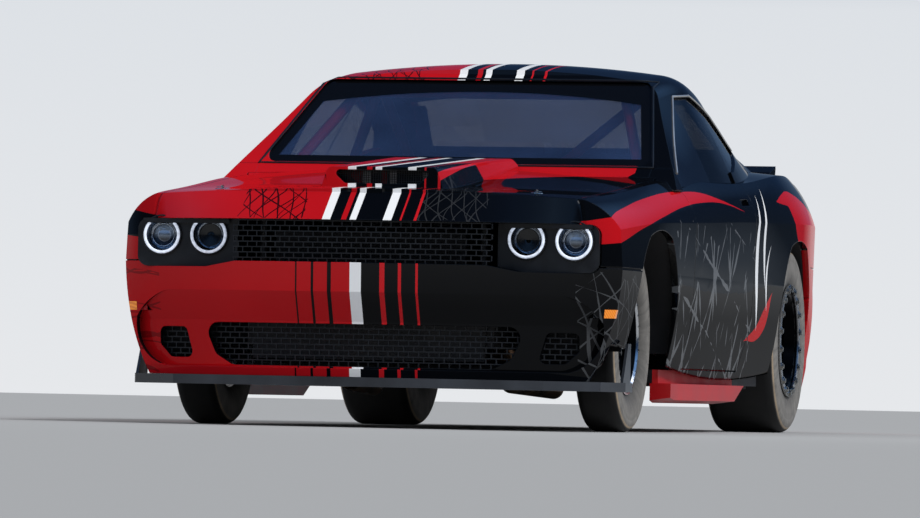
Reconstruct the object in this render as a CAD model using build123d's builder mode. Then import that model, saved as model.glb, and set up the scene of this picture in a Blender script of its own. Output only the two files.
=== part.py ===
import os
from math import cos, hypot, radians, sin

from build123d import *

os.makedirs("parts", exist_ok=True)

# A production-style coupe prepared for drag racing, parked on its four wheels.
# Millimetres. +X is the car's left, +Y runs rearward, +Z is up.
# Stations are given as distances behind the front axle and placed by along().

# Overall sizes
wheelbase = 2946
nose_reach = 1000
tail_reach = 4130
front_axle_y = (nose_reach - tail_reach) / 2

# Body shell
skin = 26
door_depth = 96
panel_gap = 5
body_floor_z = 185
tuck_z = 221
side_z = 600
wide = 1200
high = 1700
end_x = 800
tail_x = 640
flank_x = 985
floor_sheet = 8
seat_gap = 0.3

# Openings in the body
hood_front_x, hood_front_y, hood_front_mid_y = 786, -764, -800
hood_rear_x, hood_rear_y = 806, 600
door_front_y, door_rear_y = 668, 1925
door_bottom_z = 245
arch_half, arch_shoulder_z, arch_top_z = 388, 470, 762
rear_arch_half, rear_arch_top_z = 412, 792
deck_front_y, deck_rear_y, deck_half = 3075, 4046, 690
slot_x, slot_top_z, slot_bottom_z = 876, 762, 606

# Wheels and axles
front_tyre_r, front_tyre_w, front_outer_x = 355.5, 160, 852
rear_tyre_r, rear_tyre_w, rear_outer_x = 381, 296, 922
front_rim_r, rear_rim_r = 203, 205
kingpin_x = 640
steer_lock = 28

# Doors, hood and deck lid hinge lines
door_hinge_x, door_hinge_y = 954, door_front_y - 25
hood_hinge_y, hood_hinge_z = 622, 1012
deck_hinge_y, deck_hinge_z = deck_front_y - 8, 1118

# Hood scoop mouth and door details
scoop_y, scoop_depth, scoop_low_z, scoop_high_z = -555, 240, 908, 959
scoop_lip_x, scoop_sill_x = 198, 142
door_inner_x = 846
handle_outline = [(1690, 902), (1690, 926), (1850, 932), (1850, 908)]
glass_inset, glass_sheet = 9, 6
spoiler_half = 640
splitter_z, splitter_sheet = 150, body_floor_z - 150 - seat_gap
sill_x = 900
sill_bottom_z, sill_top_z = 188, 240
lamp_y = -772

# Body cross sections, from the nose to the tail:
# station, sill x, lower bulge, widest x, crease x, crease z, top edge x, top edge z, crown z
body_sections = [
    (-1020, 812, 26, 925, 916, 738, 806, 806, 848),
    (-600, 838, 24, 948, 942, 754, 822, 868, 893),
    (0, 866, 18, 953, 959, 790, 840, 916, 940),
    (650, 890, 14, 954, 962, 808, 856, 966, 1008),
    (1400, 896, 12, 953, 962, 830, 880, 984, 1036),
    (2050, 892, 12, 953, 962, 846, 884, 1004, 1060),
    (2946, 880, 14, 955, 960, 862, 848, 1062, 1106),
    (3500, 848, 16, 910, 916, 866, 796, 1070, 1112),
    (4180, 772, 20, 812, 816, 860, 738, 1044, 1086),
]

# Plan outline of the ends at each height: z, nose centre, nose corner, tail corner, tail centre
end_sections = [
    (100, -905, -722, 3920, 3980),
    (tuck_z, -930, -748, 3965, 4030),
    (375, -944, -764, 4022, 4092),
    (606, -956, -776, 4058, tail_reach),
    (700, -958, -776, 4038, 4106),
    (764, -956, -771, 4024, 4090),
    (868, -800, -764, 4016, 4076),
    (1400, -800, -764, 4016, 4076),
]

# Cabin cross sections: station, base x, rail x, rail z, roof edge x, roof edge z, crown z
cabin_sections = [
    (500, 908, 706, 1290, 604, 1368, 1404),
    (1330, 906, 704, 1326, 600, 1384, 1420),
    (1700, 904, 700, 1352, 596, 1420, 1458),
    (2350, 884, 668, 1290, 566, 1356, 1398),
    (3120, 836, 600, 1190, 500, 1258, 1300),
]
belt_z = 930
# Side view of the glass lines: windshield foot and head, backlight head and foot
shield_foot, shield_head = (640, 1000), (1306, 1398)
back_head, back_foot = (2372, 1386), (3068, 1112)


def along(station):
    """Place a distance behind the front axle in the car's own frame."""
    return front_axle_y + station


def cross_plane(station):
    """Vertical plane across the car; its sketch x is the car's x and its sketch y is z."""
    return Plane.XZ.offset(-along(station))


def side_points(points):
    """Points of a side view, given as (station, z)."""
    return [(along(station), z) for station, z in points]


def arc_bulge(start, end, bulge):
    """Mid point of an arc that stands off its chord by bulge, to the right of the way."""
    dx, dz = end[0] - start[0], end[1] - start[1]
    run = hypot(dx, dz)
    return ((start[0] + end[0]) / 2 + bulge * dz / run, (start[1] + end[1]) / 2 - bulge * dx / run)


def body_solid(inset, bottom_z):
    """Lower body from sill to hood and deck, drawn in by inset and open down to bottom_z."""
    with BuildPart() as bulk:
        for station, sill, bulge, side, crease, crease_z, top, top_z, crown_z in body_sections:
            low = (sill - inset, bottom_z)
            widest = (side - inset, side_z)
            fold = (crease - inset, crease_z)
            edge = (top - inset * 0.7, top_z - inset * 0.9)
            with BuildSketch(cross_plane(station)):
                with BuildLine():
                    ThreePointArc(low, arc_bulge(low, widest, bulge), widest)
                    Line(widest, fold)
                    ThreePointArc(fold, arc_bulge(fold, edge, 15), edge)
                    mirror(about=Plane.YZ)
                    Line(low, (-low[0], low[1]))
                    ThreePointArc(edge, (0, crown_z - inset), (-edge[0], edge[1]))
                make_face()
        loft()
    with BuildPart() as ends:
        for z, nose, nose_corner, tail_corner, tail in end_sections:
            with BuildSketch(Plane.XY.offset(z)):
                front = along(nose_corner) + inset
                rear = along(tail_corner) - inset
                flank = flank_x + 60 - inset
                with BuildLine():
                    ThreePointArc((end_x, front), (end_x + 127, front + 76), (flank, front + 330))
                    Line((flank, front + 330), (flank, rear - 660))
                    Line((flank, rear - 660), (tail_x + 206 - inset, rear - 280))
                    ThreePointArc((tail_x + 206 - inset, rear - 280), (tail_x + 130 - inset * 0.7, rear - 72),
                                  (tail_x, rear))
                    mirror(about=Plane.YZ)
                    ThreePointArc((end_x, front), (0, along(nose) + inset), (-end_x, front))
                    ThreePointArc((tail_x, rear), (0, along(tail) - inset), (-tail_x, rear))
                make_face()
        loft(ruled=True)
        add(bulk.part, mode=Mode.INTERSECT)
    return ends.part


def cabin_solid(inset, foot_z):
    """Roof and pillars as one solid, drawn in by inset, down to foot_z."""
    with BuildPart() as cabin:
        for station, base, rail, rail_z, edge, edge_z, crown_z in cabin_sections:
            low = (base - inset, belt_z)
            shoulder = (rail - inset, rail_z - inset * 0.3)
            roof_edge = (edge - inset * 0.6, edge_z - inset * 0.9)
            with BuildSketch(cross_plane(station)):
                with BuildLine():
                    ThreePointArc(low, arc_bulge(low, shoulder, 9), shoulder)
                    ThreePointArc(shoulder, arc_bulge(shoulder, roof_edge, 15), roof_edge)
                    mirror(about=Plane.YZ)
                    Line(low, (-low[0], low[1]))
                    ThreePointArc(roof_edge, (0, crown_z - inset), (-roof_edge[0], roof_edge[1]))
                make_face()
        loft()
        with BuildSketch(Plane.YZ):
            with BuildLine():
                Polyline(*side_points([(470, foot_z), (470, 898), shield_foot, shield_head,
                                       (1430, 1620), (2210, 1620), back_head, back_foot,
                                       (3290, 1020), (3290, foot_z)]), close=True)
            make_face()
            if inset:
                offset(amount=-inset)
        extrude(amount=wide, both=True, mode=Mode.INTERSECT)
    return cabin.part


def side_prism(points, x_from, x_to, gap=0):
    """Prism of a side-view outline between two x places, shrunk all round by gap."""
    with BuildPart() as prism:
        with BuildSketch(Plane.YZ.offset(x_from)):
            with BuildLine():
                Polyline(*side_points(points), close=True)
            make_face()
            if gap:
                offset(amount=-gap, kind=Kind.INTERSECTION)
        extrude(amount=x_to - x_from)
    return prism.part


def plan_prism(points, z_from, z_to, gap=0):
    """Prism of a plan outline, given as (x, station), shrunk all round by gap."""
    with BuildPart() as prism:
        with BuildSketch(Plane.XY.offset(z_from)):
            with BuildLine():
                Polyline(*[(x, along(station)) for x, station in points], close=True)
            make_face()
            if gap:
                offset(amount=-gap, kind=Kind.INTERSECTION)
        extrude(amount=z_to - z_from)
    return prism.part


def arch_prism(station, half, shoulder_z, top_z, x_from, x_to, grow=0):
    """Prism of a wheel opening with upright sides, rounded shoulders and a flat crown."""
    foot_z = -50
    crown_half = half * 0.52
    shoulder = (half + grow, shoulder_z)
    crown = (crown_half, top_z - 26 + grow)
    with BuildPart() as prism:
        with BuildSketch(Plane.YZ.offset(x_from)):
            with Locations((along(station), 0)):
                with BuildSketch(mode=Mode.PRIVATE) as opening:
                    with BuildLine():
                        Line((half + grow, foot_z), shoulder)
                        ThreePointArc(shoulder, arc_bulge(shoulder, crown, 34), crown)
                        mirror(about=Plane.YZ)
                        ThreePointArc(crown, (0, top_z + grow), (-crown[0], crown[1]))
                        Line((-half - grow, foot_z), (half + grow, foot_z))
                    make_face()
                add(opening.sketch)
        extrude(amount=x_to - x_from)
    return prism.part


def mirrored(solid):
    """The same piece on the car's other side."""
    with BuildPart() as twin:
        mirror(solid, about=Plane.YZ)
    return twin.part


def write(solid, name):
    """Label a finished piece and write it."""
    solid.label = name
    export_step(solid, f"parts/{name}.step")


def write_pair(solid, name):
    """Write a left piece and its mirror image on the right."""
    write(solid, name + "_left")
    write(mirrored(solid), name + "_right")


# Whole outer and inner forms that every panel is cut from
body_outer = body_solid(0, body_floor_z)
body_inner = body_solid(skin, body_floor_z - 200)
cabin_outer = cabin_solid(0, belt_z - 80)
cabin_inner = cabin_solid(skin + 14, belt_z - 80)
with BuildPart() as shell:
    add(body_outer)
    add(cabin_outer)
    add(body_inner, mode=Mode.SUBTRACT)
    add(cabin_inner, mode=Mode.SUBTRACT)
shell_part = shell.part

# Plan outlines of the hood and the deck lid
hood_plan = [(-hood_front_x, hood_front_y), (0, hood_front_mid_y), (hood_front_x, hood_front_y),
             (hood_rear_x, hood_rear_y), (0, hood_rear_y + 36), (-hood_rear_x, hood_rear_y)]
deck_plan = [(-deck_half, deck_front_y), (deck_half, deck_front_y),
             (deck_half, deck_rear_y + 200), (-deck_half, deck_rear_y + 200)]

# Side outlines, as (station, z)
glass_split = door_rear_y
belt_line = [(door_front_y, 991), (1300, 1010), (2010, 1046)]
split_belt_z = 1010 + (glass_split - 1300) * (1046 - 1010) / (2010 - 1300)
door_outline = [(door_front_y, door_bottom_z), belt_line[0], belt_line[1], (glass_split, split_belt_z),
                (door_rear_y, 840), (door_rear_y, 420), (door_rear_y - 110, door_bottom_z)]
fender_outline = [(hood_front_y, slot_bottom_z), (hood_front_y, 1080), (door_front_y, 1080),
                  (door_front_y, 150), (120, 150), (120, slot_bottom_z)]
slot_middle_z = (slot_top_z + slot_bottom_z) / 2
header_outline = [(-1100, slot_middle_z), (-1100, 1080), (hood_front_y, 1080), (hood_front_y, slot_middle_z)]
bumper_outline = [(-1100, 60), (-1100, slot_middle_z), (hood_front_y, slot_middle_z),
                  (hood_front_y, slot_bottom_z), (-250, slot_bottom_z), (-250, 60)]
tail_outline = [(3880, 1400), (4300, 1400), (4300, 60), (3330, 60), (3330, 690), (3880, 690)]
split_z = 1334 - (glass_split - 1745) * (1334 - 1266) / (2165 - 1745)
glass_front = [(700, 992), (1392, 1316), (1745, 1334)]
glass_rear = [(2165, 1266), (2365, 1202), (2460, 1140), belt_line[2]]
glass_outline = glass_front + glass_rear + [belt_line[1]]
glass_root = 50
door_glass_outline = glass_front + [(glass_split, split_z), (glass_split, split_belt_z - glass_root),
                                    (belt_line[1][0], belt_line[1][1] - glass_root),
                                    (glass_front[0][0], glass_front[0][1] - glass_root)]
quarter_glass_outline = [(glass_split, split_z)] + glass_rear + [(glass_split, split_belt_z)]

front_arch = arch_prism(0, arch_half, arch_shoulder_z, arch_top_z, 500, wide)
rear_arch = arch_prism(wheelbase, rear_arch_half, arch_shoulder_z, rear_arch_top_z, 500, wide)
side_glass_cut = side_prism(glass_outline, 500, wide)
hood_under_z, deck_under_z = 802, 915
hood_well = plan_prism(hood_plan, hood_under_z, high, -panel_gap / 2)
deck_well = plan_prism(deck_plan, deck_under_z, high, -panel_gap / 2)
door_well = side_prism(door_outline, door_inner_x - panel_gap, wide, -panel_gap / 2)
belt_depth, belt_front_y = 70, door_front_y + 60
belt_well_outline = [(belt_front_y, belt_line[0][1] - belt_depth), (belt_front_y, belt_line[0][1]), belt_line[1],
                     (glass_split, split_belt_z), (glass_split, split_belt_z - belt_depth)]
belt_well = side_prism(belt_well_outline, door_inner_x - belt_depth, wide, -panel_gap / 2)
fender_well = side_prism(fender_outline, 780, wide, -panel_gap / 2)
tail_well = side_prism(tail_outline, -wide, wide, -panel_gap / 2)

# Front view of the two glass openings
shield_view = [(-776, 1024), (-650, 1372), (650, 1372), (776, 1024)]
back_view = [(-640, 1140), (-560, 1352), (560, 1352), (640, 1140)]


def cross_prism(points, station_from, station_to, gap=0, corner_r=40):
    """Prism of a front-view outline between two stations, its corners rounded."""
    with BuildPart() as prism:
        with BuildSketch(cross_plane(station_to)):
            with BuildLine():
                Polyline(*points, close=True)
            make_face()
            fillet(vertices(), corner_r)
            if gap:
                offset(amount=-gap)
        extrude(amount=station_to - station_from)
    return prism.part


# Front view of the lamp slot, which drops a little under the lamps
slot_drop, slot_drop_x = 22, 474
slot_view = [(-slot_x, slot_bottom_z - slot_drop), (-slot_x, slot_top_z), (slot_x, slot_top_z),
             (slot_x, slot_bottom_z - slot_drop), (slot_drop_x + 118, slot_bottom_z - slot_drop),
             (slot_drop_x, slot_bottom_z), (-slot_drop_x, slot_bottom_z),
             (-slot_drop_x - 118, slot_bottom_z - slot_drop)]
slot_cut = cross_prism(slot_view, -1050, -700)

# Roof, pillars, quarters, cowl and sills: the fixed body
nose_well = side_prism([(-1200, 0), (-1200, high), (hood_rear_y - 20, high), (hood_rear_y - 20, 0)], -wide, wide)
with BuildPart() as body_shell:
    add(shell_part)
    add(nose_well, mode=Mode.SUBTRACT)
    add(tail_well, mode=Mode.SUBTRACT)
    add(hood_well, mode=Mode.SUBTRACT)
    add(deck_well, mode=Mode.SUBTRACT)
    for well in (door_well, belt_well, fender_well, front_arch, rear_arch, side_glass_cut):
        add(well, mode=Mode.SUBTRACT)
        mirror(well, about=Plane.YZ, mode=Mode.SUBTRACT)
    add(cross_prism(shield_view, 400, 1330), mode=Mode.SUBTRACT)
    add(cross_prism(back_view, 2330, 3200), mode=Mode.SUBTRACT)
write(body_shell.part, "body_shell")

# Front fenders, cut round by the wheel opening, the hood and the door
with BuildPart() as fender:
    add(shell_part)
    add(side_prism(fender_outline, 780, wide, panel_gap / 2), mode=Mode.INTERSECT)
    add(front_arch, mode=Mode.SUBTRACT)
    add(hood_well, mode=Mode.SUBTRACT)
    add(slot_cut, mode=Mode.SUBTRACT)
write_pair(fender.part, "fender")

# Hood with its forward-facing scoop, which runs back to the windshield as a bulge
with BuildPart() as scoop:
    for station, foot, top, foot_z, top_z in [(scoop_y, 246, 208, 850, 970), (hood_rear_y + 24, 300, 236, 980, 1044)]:
        with BuildSketch(cross_plane(station)):
            Polygon((-foot, foot_z), (foot, foot_z), (top, top_z), (-top, top_z), align=None)
            fillet(vertices().group_by(Axis.Z)[-1], 26)
    loft()
    add(body_inner, mode=Mode.SUBTRACT)
with BuildPart() as scoop_throat:
    with BuildSketch(cross_plane(scoop_y + scoop_depth)):
        with BuildLine():
            Polyline((-scoop_sill_x, scoop_low_z), (scoop_sill_x, scoop_low_z), (scoop_lip_x, scoop_high_z),
                     (-scoop_lip_x, scoop_high_z), close=True)
        make_face()
        fillet(vertices(), 14)
    extrude(amount=scoop_depth + 60)
with BuildPart() as hood:
    add(shell_part)
    add(plan_prism(hood_plan, hood_under_z + panel_gap, high, panel_gap / 2), mode=Mode.INTERSECT)
    add(scoop.part)
    add(scoop_throat.part, mode=Mode.SUBTRACT)
write(hood.part, "hood")


def nose_at(z):
    """Nose centre and nose corner stations at a height, between the rows of end_sections."""
    for low, above in zip(end_sections, end_sections[1:]):
        if low[0] <= z <= above[0]:
            share = (z - low[0]) / (above[0] - low[0])
            return [low[place] + share * (above[place] - low[place]) for place in (1, 2)]


def bumper_mouth(grow):
    """Sunken mouth of the bumper under its crease; grow thickens it for the inside of the wall."""
    with BuildPart() as behind:
        for z, depth in [(140, mouth_depth), (tuck_z, mouth_depth), (mouth_top_z, mouth_depth),
                         (crease_z, -1), (crease_z + 60, -12)]:
            nose, corner = nose_at(z)
            front = along(corner) + depth + grow
            with BuildSketch(Plane.XY.offset(z)):
                with BuildLine():
                    ThreePointArc((end_x, front), (end_x + 127, front + 76), (flank_x + 60, front + 330))
                    Polyline((flank_x + 60, front + 330), (flank_x + 60, front + 600),
                             (-flank_x - 60, front + 600), (-flank_x - 60, front + 330))
                    ThreePointArc((-flank_x - 60, front + 330), (-end_x - 127, front + 76), (-end_x, front))
                    ThreePointArc((-end_x, front), (0, along(nose) + depth + grow), (end_x, front))
                make_face()
        loft(ruled=True)
    with BuildPart() as mouth:
        with BuildSketch(cross_plane(-600)):
            with BuildLine():
                Line((0, crease_z + 3), (700, crease_z + 3))
                ThreePointArc((700, crease_z + 3), (822, 466), (886, 398))
                ThreePointArc((886, 398), (866, 290), (760, mouth_low_z))
                Line((760, mouth_low_z), (0, mouth_low_z))
                mirror(about=Plane.YZ)
            make_face()
            if grow:
                offset(amount=grow)
        extrude(amount=500)
        add(behind.part, mode=Mode.SUBTRACT)
    return mouth.part


# Header panel over the grille, and the bumper with its mouth, grille opening and side inlets
crease_z, mouth_top_z, mouth_low_z, mouth_depth = 500, 388, 216, 46
intake_view = [(-490, 222), (-560, 262), (-612, 380), (612, 380), (560, 262), (490, 222)]
inlet_view = [(652, 248), (684, 362), (796, 362), (796, 296), (748, 248)]
marker_outline = [(-722, 420), (-722, 452), (-668, 452), (-668, 420)]
marker = side_prism(marker_outline, 820, wide)
with BuildPart() as header_panel:
    add(shell_part)
    add(side_prism(header_outline, -wide, wide, panel_gap / 2), mode=Mode.INTERSECT)
    add(hood_well, mode=Mode.SUBTRACT)
    add(slot_cut, mode=Mode.SUBTRACT)
write(header_panel.part, "header_panel")
with BuildPart() as bumper_core:
    add(body_inner)
    add(bumper_mouth(skin), mode=Mode.SUBTRACT)
with BuildPart() as front_bumper:
    add(body_outer)
    add(side_prism(bumper_outline, -wide, wide, panel_gap / 2), mode=Mode.INTERSECT)
    add(bumper_mouth(0), mode=Mode.SUBTRACT)
    add(bumper_core.part, mode=Mode.SUBTRACT)
    add(front_arch, mode=Mode.SUBTRACT)
    mirror(front_arch, about=Plane.YZ, mode=Mode.SUBTRACT)
    add(slot_cut, mode=Mode.SUBTRACT)
    add(cross_prism(intake_view, -1050, -700), mode=Mode.SUBTRACT)
    inlet = cross_prism(inlet_view, -1050, -600, 0, 22)
    add(inlet, mode=Mode.SUBTRACT)
    mirror(inlet, about=Plane.YZ, mode=Mode.SUBTRACT)
    add(marker, mode=Mode.SUBTRACT)
    mirror(marker, about=Plane.YZ, mode=Mode.SUBTRACT)
write(front_bumper.part, "front_bumper")

# Side marker lenses, flush in the bumper's flanks
with BuildPart() as side_markers:
    add(shell_part)
    add(side_prism(marker_outline, 820, wide, seat_gap), mode=Mode.INTERSECT)
    mirror(about=Plane.YZ)
write(side_markers.part, "side_markers")

# Rear fascia: bumper cover and tail panel with its full-width lamp recess
lamp_view = [(-770, 770), (-770, 900), (770, 900), (770, 770)]
with BuildPart() as rear_fascia:
    add(shell_part)
    add(side_prism(tail_outline, -wide, wide, panel_gap / 2), mode=Mode.INTERSECT)
    add(deck_well, mode=Mode.SUBTRACT)
    add(rear_arch, mode=Mode.SUBTRACT)
    mirror(rear_arch, about=Plane.YZ, mode=Mode.SUBTRACT)
    add(cross_prism(lamp_view, 3900, 4300), mode=Mode.SUBTRACT)
write(rear_fascia.part, "rear_fascia")

# Deck lid with its low spoiler blade
with BuildPart() as deck_lid:
    add(shell_part)
    add(plan_prism(deck_plan, deck_under_z + panel_gap, high, panel_gap / 2), mode=Mode.INTERSECT)
    with BuildSketch(Plane.YZ.offset(-spoiler_half)):
        with BuildLine():
            Polyline(*side_points([(3870, 1075), (3960, 1108), (4074, 1136), (4078, 1126), (4060, 1060)]), close=True)
        make_face()
    extrude(amount=2 * spoiler_half)
write(deck_lid.part, "deck_lid")

# Doors: the whole thickness of the side below the belt
body_deep = body_solid(door_depth, body_floor_z - 200)
with BuildPart() as door:
    add(body_outer)
    add(side_prism(door_outline, door_inner_x, wide, panel_gap / 2), mode=Mode.INTERSECT)
    add(body_deep, mode=Mode.SUBTRACT)
    add(side_prism(handle_outline, 925, wide), mode=Mode.SUBTRACT)
write_pair(door.part, "door")

# Glass sheets lie in one band just inside the pillars' outer face
with BuildPart() as glass_band:
    add(cabin_solid(glass_inset, belt_z - 80))
    add(cabin_solid(glass_inset + glass_sheet, belt_z - 80), mode=Mode.SUBTRACT)
with BuildPart() as windshield:
    add(glass_band.part)
    add(cross_prism(shield_view, 400, 1330, seat_gap), mode=Mode.INTERSECT)
with BuildPart() as rear_window:
    add(glass_band.part)
    add(cross_prism(back_view, 2330, 3200, seat_gap), mode=Mode.INTERSECT)
with BuildPart() as door_glass:
    add(glass_band.part)
    add(side_prism(door_glass_outline, 500, wide, panel_gap), mode=Mode.INTERSECT)
    add(body_outer.moved(Location((0, 0, 1.5 * seat_gap))), mode=Mode.SUBTRACT)
write_pair(door_glass.part, "door_glass")
with BuildPart() as quarter_glass:
    add(glass_band.part)
    add(side_prism(quarter_glass_outline, 500, wide, 0.6), mode=Mode.INTERSECT)
    mirror(about=Plane.YZ)
with BuildPart() as fixed_glass:
    for pane in (windshield, rear_window, quarter_glass):
        add(pane.part)
write(fixed_glass.part, "fixed_glass")

# Splitter: flat tray under the bumper with upright fences at its tips
splitter_edge = [(938, -420), (938, -547), (884, -742), (700, -884)]
with BuildPart() as splitter:
    with BuildSketch(Plane.XY.offset(splitter_z)):
        with BuildLine():
            Polyline(*[(x, along(y)) for x, y in splitter_edge])
            mirror(about=Plane.YZ)
            ThreePointArc((700, along(-884)), (0, -(tail_reach + nose_reach) / 2), (-700, along(-884)))
            Line((938, along(-420)), (-938, along(-420)))
        make_face()
    extrude(amount=splitter_sheet)
    for side in (1, -1):
        with BuildSketch(Plane.YZ.offset(side * 926 - 5)):
            with BuildLine():
                Polyline(*side_points([(-424, body_floor_z - seat_gap), (-424, 330), (-470, 330),
                                       (-560, body_floor_z - seat_gap)]), close=True)
            make_face()
        extrude(amount=10)
write(splitter.part, "splitter")

# Side skirts under the doors
sill_low_z = sill_bottom_z - seat_gap
with BuildPart() as side_skirts:
    with BuildSketch(Plane.YZ.offset(sill_x - 62)):
        with BuildLine():
            Polyline(*side_points([(412, sill_low_z), (412, 122), (470, 113), (1700, 113),
                                   (1900, sill_low_z)]), close=True)
        make_face()
    with BuildSketch(Plane.YZ.offset(sill_x + 22)):
        with BuildLine():
            Polyline(*side_points([(400, sill_low_z), (400, 134), (470, 125), (1720, 125),
                                   (1916, sill_low_z)]), close=True)
        make_face()
    loft()
    mirror(about=Plane.YZ)
write(side_skirts.part, "side_skirts")


def brick_mesh(half_x, low_z, high_z, rows, columns, bar, from_station, nose_bow):
    """Grille of staggered slots in an upright plate that follows the bumper's plan arc."""
    depth = 14
    pitch_x = 2 * half_x / columns
    pitch_z = (high_z - low_z) / rows
    with BuildPart() as mesh:
        with BuildSketch(cross_plane(from_station + 400)):
            with Locations((0, (low_z + high_z) / 2)):
                Rectangle(2 * half_x, high_z - low_z)
            for row in range(rows):
                z = low_z + pitch_z * (row + 0.5)
                count = columns - row % 2
                with Locations((0, z)):
                    with GridLocations(pitch_x, 1, count, 1):
                        Rectangle(pitch_x - bar, pitch_z - bar, mode=Mode.SUBTRACT)
        extrude(amount=500)
        with BuildSketch(Plane.XY.offset(low_z - 1)):
            with BuildLine():
                ThreePointArc((-end_x, along(from_station + nose_bow)), (0, along(from_station)),
                              (end_x, along(from_station + nose_bow)))
                ThreePointArc((-end_x, along(from_station + nose_bow + depth)), (0, along(from_station + depth)),
                              (end_x, along(from_station + nose_bow + depth)))
                Line((-end_x, along(from_station + nose_bow)), (-end_x, along(from_station + nose_bow + depth)))
                Line((end_x, along(from_station + nose_bow)), (end_x, along(from_station + nose_bow + depth)))
            make_face()
        extrude(amount=high_z - low_z + 2, mode=Mode.INTERSECT)
    return mesh.part


slot_nose, slot_corner = nose_at(slot_bottom_z)
mouth_nose, mouth_corner = nose_at(tuck_z)
mouth_back = mouth_depth + skin + seat_gap
upper_grille = brick_mesh(488, 600, 758, 6, 14, 8, slot_nose + skin + 0.4, slot_corner - slot_nose)
lower_grille = brick_mesh(796, 222, 384, 6, 20, 8, mouth_nose + mouth_back, mouth_corner - mouth_nose)

# Lamp panels and the four round headlamps in the slot
lamp_radius = 70
lamp_places = [(782, 700), (603, 703)]
with BuildPart() as lamp_panels:
    add(cross_prism(slot_view, lamp_y, lamp_y + 12, seat_gap))
    with BuildSketch(cross_plane(lamp_y + 20)):
        Rectangle(2 * 494, 2 * high)
        for side in (-1, 1):
            with Locations(*[(side * x, z) for x, z in lamp_places]):
                Circle(lamp_radius + seat_gap)
    extrude(amount=30, mode=Mode.SUBTRACT)
with BuildPart() as grilles:
    for insert in (upper_grille, lower_grille, lamp_panels.part):
        add(insert)
write(grilles.part, "grilles")
with BuildPart() as headlamp:
    with BuildSketch(Plane.XY):
        with BuildLine():
            Polyline((0, 30), (50, 22), (lamp_radius - 8, -6), (lamp_radius - 4, -12), (lamp_radius, -6),
                     (lamp_radius, 12), (44, 56), (0, 56), close=True)
        make_face()
    revolve(axis=Axis.Y)
with BuildPart() as headlamps:
    for x, z in lamp_places:
        add(headlamp.part.moved(Location((x, along(lamp_y), z))))
    add(cross_prism(slot_view, -1050, -600, seat_gap), mode=Mode.INTERSECT)
    mirror(about=Plane.YZ)
write(headlamps.part, "headlamps")

# Tail lamps, one each side of a plain centre panel, in the tail recess
with BuildPart() as tail_lamps:
    with BuildSketch(Plane.XY.offset(774)):
        with BuildLine():
            ThreePointArc((60, along(4070)), (430, along(4052)), (764, along(3968)))
            Line((764, along(3968)), (764, along(3930)))
            ThreePointArc((764, along(3930)), (430, along(4014)), (60, along(4032)))
            Line((60, along(4032)), (60, along(4070)))
        make_face()
    extrude(amount=122)
    add(cross_prism(lamp_view, 3800, 4300, seat_gap), mode=Mode.INTERSECT)
    mirror(about=Plane.YZ)
write(tail_lamps.part, "tail_lamps")


def tube(points, radius):
    """Round tube laid through points, with a ball at each bend."""
    with BuildPart() as run:
        for start, end in zip(points, points[1:]):
            way = Vector(end) - Vector(start)
            with BuildSketch(Plane(origin=start, z_dir=way)):
                Circle(radius)
            extrude(amount=way.length)
        for bend in points[1:-1]:
            with Locations(bend):
                Sphere(radius)
    return run.part


def point(x, station, z):
    """A place in the car given by its distance behind the front axle."""
    return (x, along(station), z)


def block(x_range, station_range, z_range):
    """Plain block between two places on each axis."""
    with BuildPart() as brick:
        with BuildSketch(Plane.XY.offset(z_range[0])):
            with Locations(((x_range[0] + x_range[1]) / 2, along((station_range[0] + station_range[1]) / 2))):
                Rectangle(x_range[1] - x_range[0], station_range[1] - station_range[0])
        extrude(amount=z_range[1] - z_range[0])
    return brick.part


# Floor pan with its tunnel, firewall, sills, trunk floor and rear bulkhead
floor_z, floor_front, floor_rear = 215, 548, 2440
tunnel_half, tunnel_top = 190, 545
shaft_half, shaft_top, shaft_station = 110, 470, 1230
trunk_z, trunk_rear = 560, 3900
rear_tub_x = 556
jack_x, jack_stations = 811, (480, 2420)
with BuildPart() as floor_pan:
    add(block((-790, 790), (floor_front, floor_rear), (floor_z, floor_z + floor_sheet)))
    add(block((-790, 790), (floor_front, floor_front + floor_sheet), (floor_z, 915)))
    add(block((-540, 540), (floor_rear, floor_rear + floor_sheet), (floor_z, 950)))
    add(block((-rear_tub_x + seat_gap, rear_tub_x - seat_gap), (floor_rear, trunk_rear),
              (trunk_z, trunk_z + floor_sheet)))
    for side in (-1, 1):
        add(block((min(side * 790, side * 868), max(side * 790, side * 868)), (420, 2480),
                  (sill_bottom_z, sill_top_z)))
        add(block((min(side * 850, side * 866), max(side * 850, side * 866)), (720, 1800),
                  (sill_top_z, door_bottom_z + panel_gap / 2 - seat_gap)))
        for station in jack_stations:
            add(block((side * jack_x - 20, side * jack_x + 20), (station - 30, station + 30),
                      (sill_bottom_z - 12, sill_bottom_z)))
    for half, top, front, rear in [(tunnel_half, tunnel_top, floor_front, shaft_station),
                                   (shaft_half, shaft_top, shaft_station, floor_rear)]:
        add(block((-half, half), (front, rear), (floor_z, top)))
    add(block((-tunnel_half + floor_sheet, tunnel_half - floor_sheet),
              (floor_front - 10, shaft_station - floor_sheet), (floor_z - 5, tunnel_top - floor_sheet)), mode=Mode.SUBTRACT)
    add(block((-shaft_half + floor_sheet, shaft_half - floor_sheet),
              (shaft_station - 20, floor_rear + 20), (floor_z - 5, shaft_top - floor_sheet)), mode=Mode.SUBTRACT)
write(floor_pan.part, "floor_pan")


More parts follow.
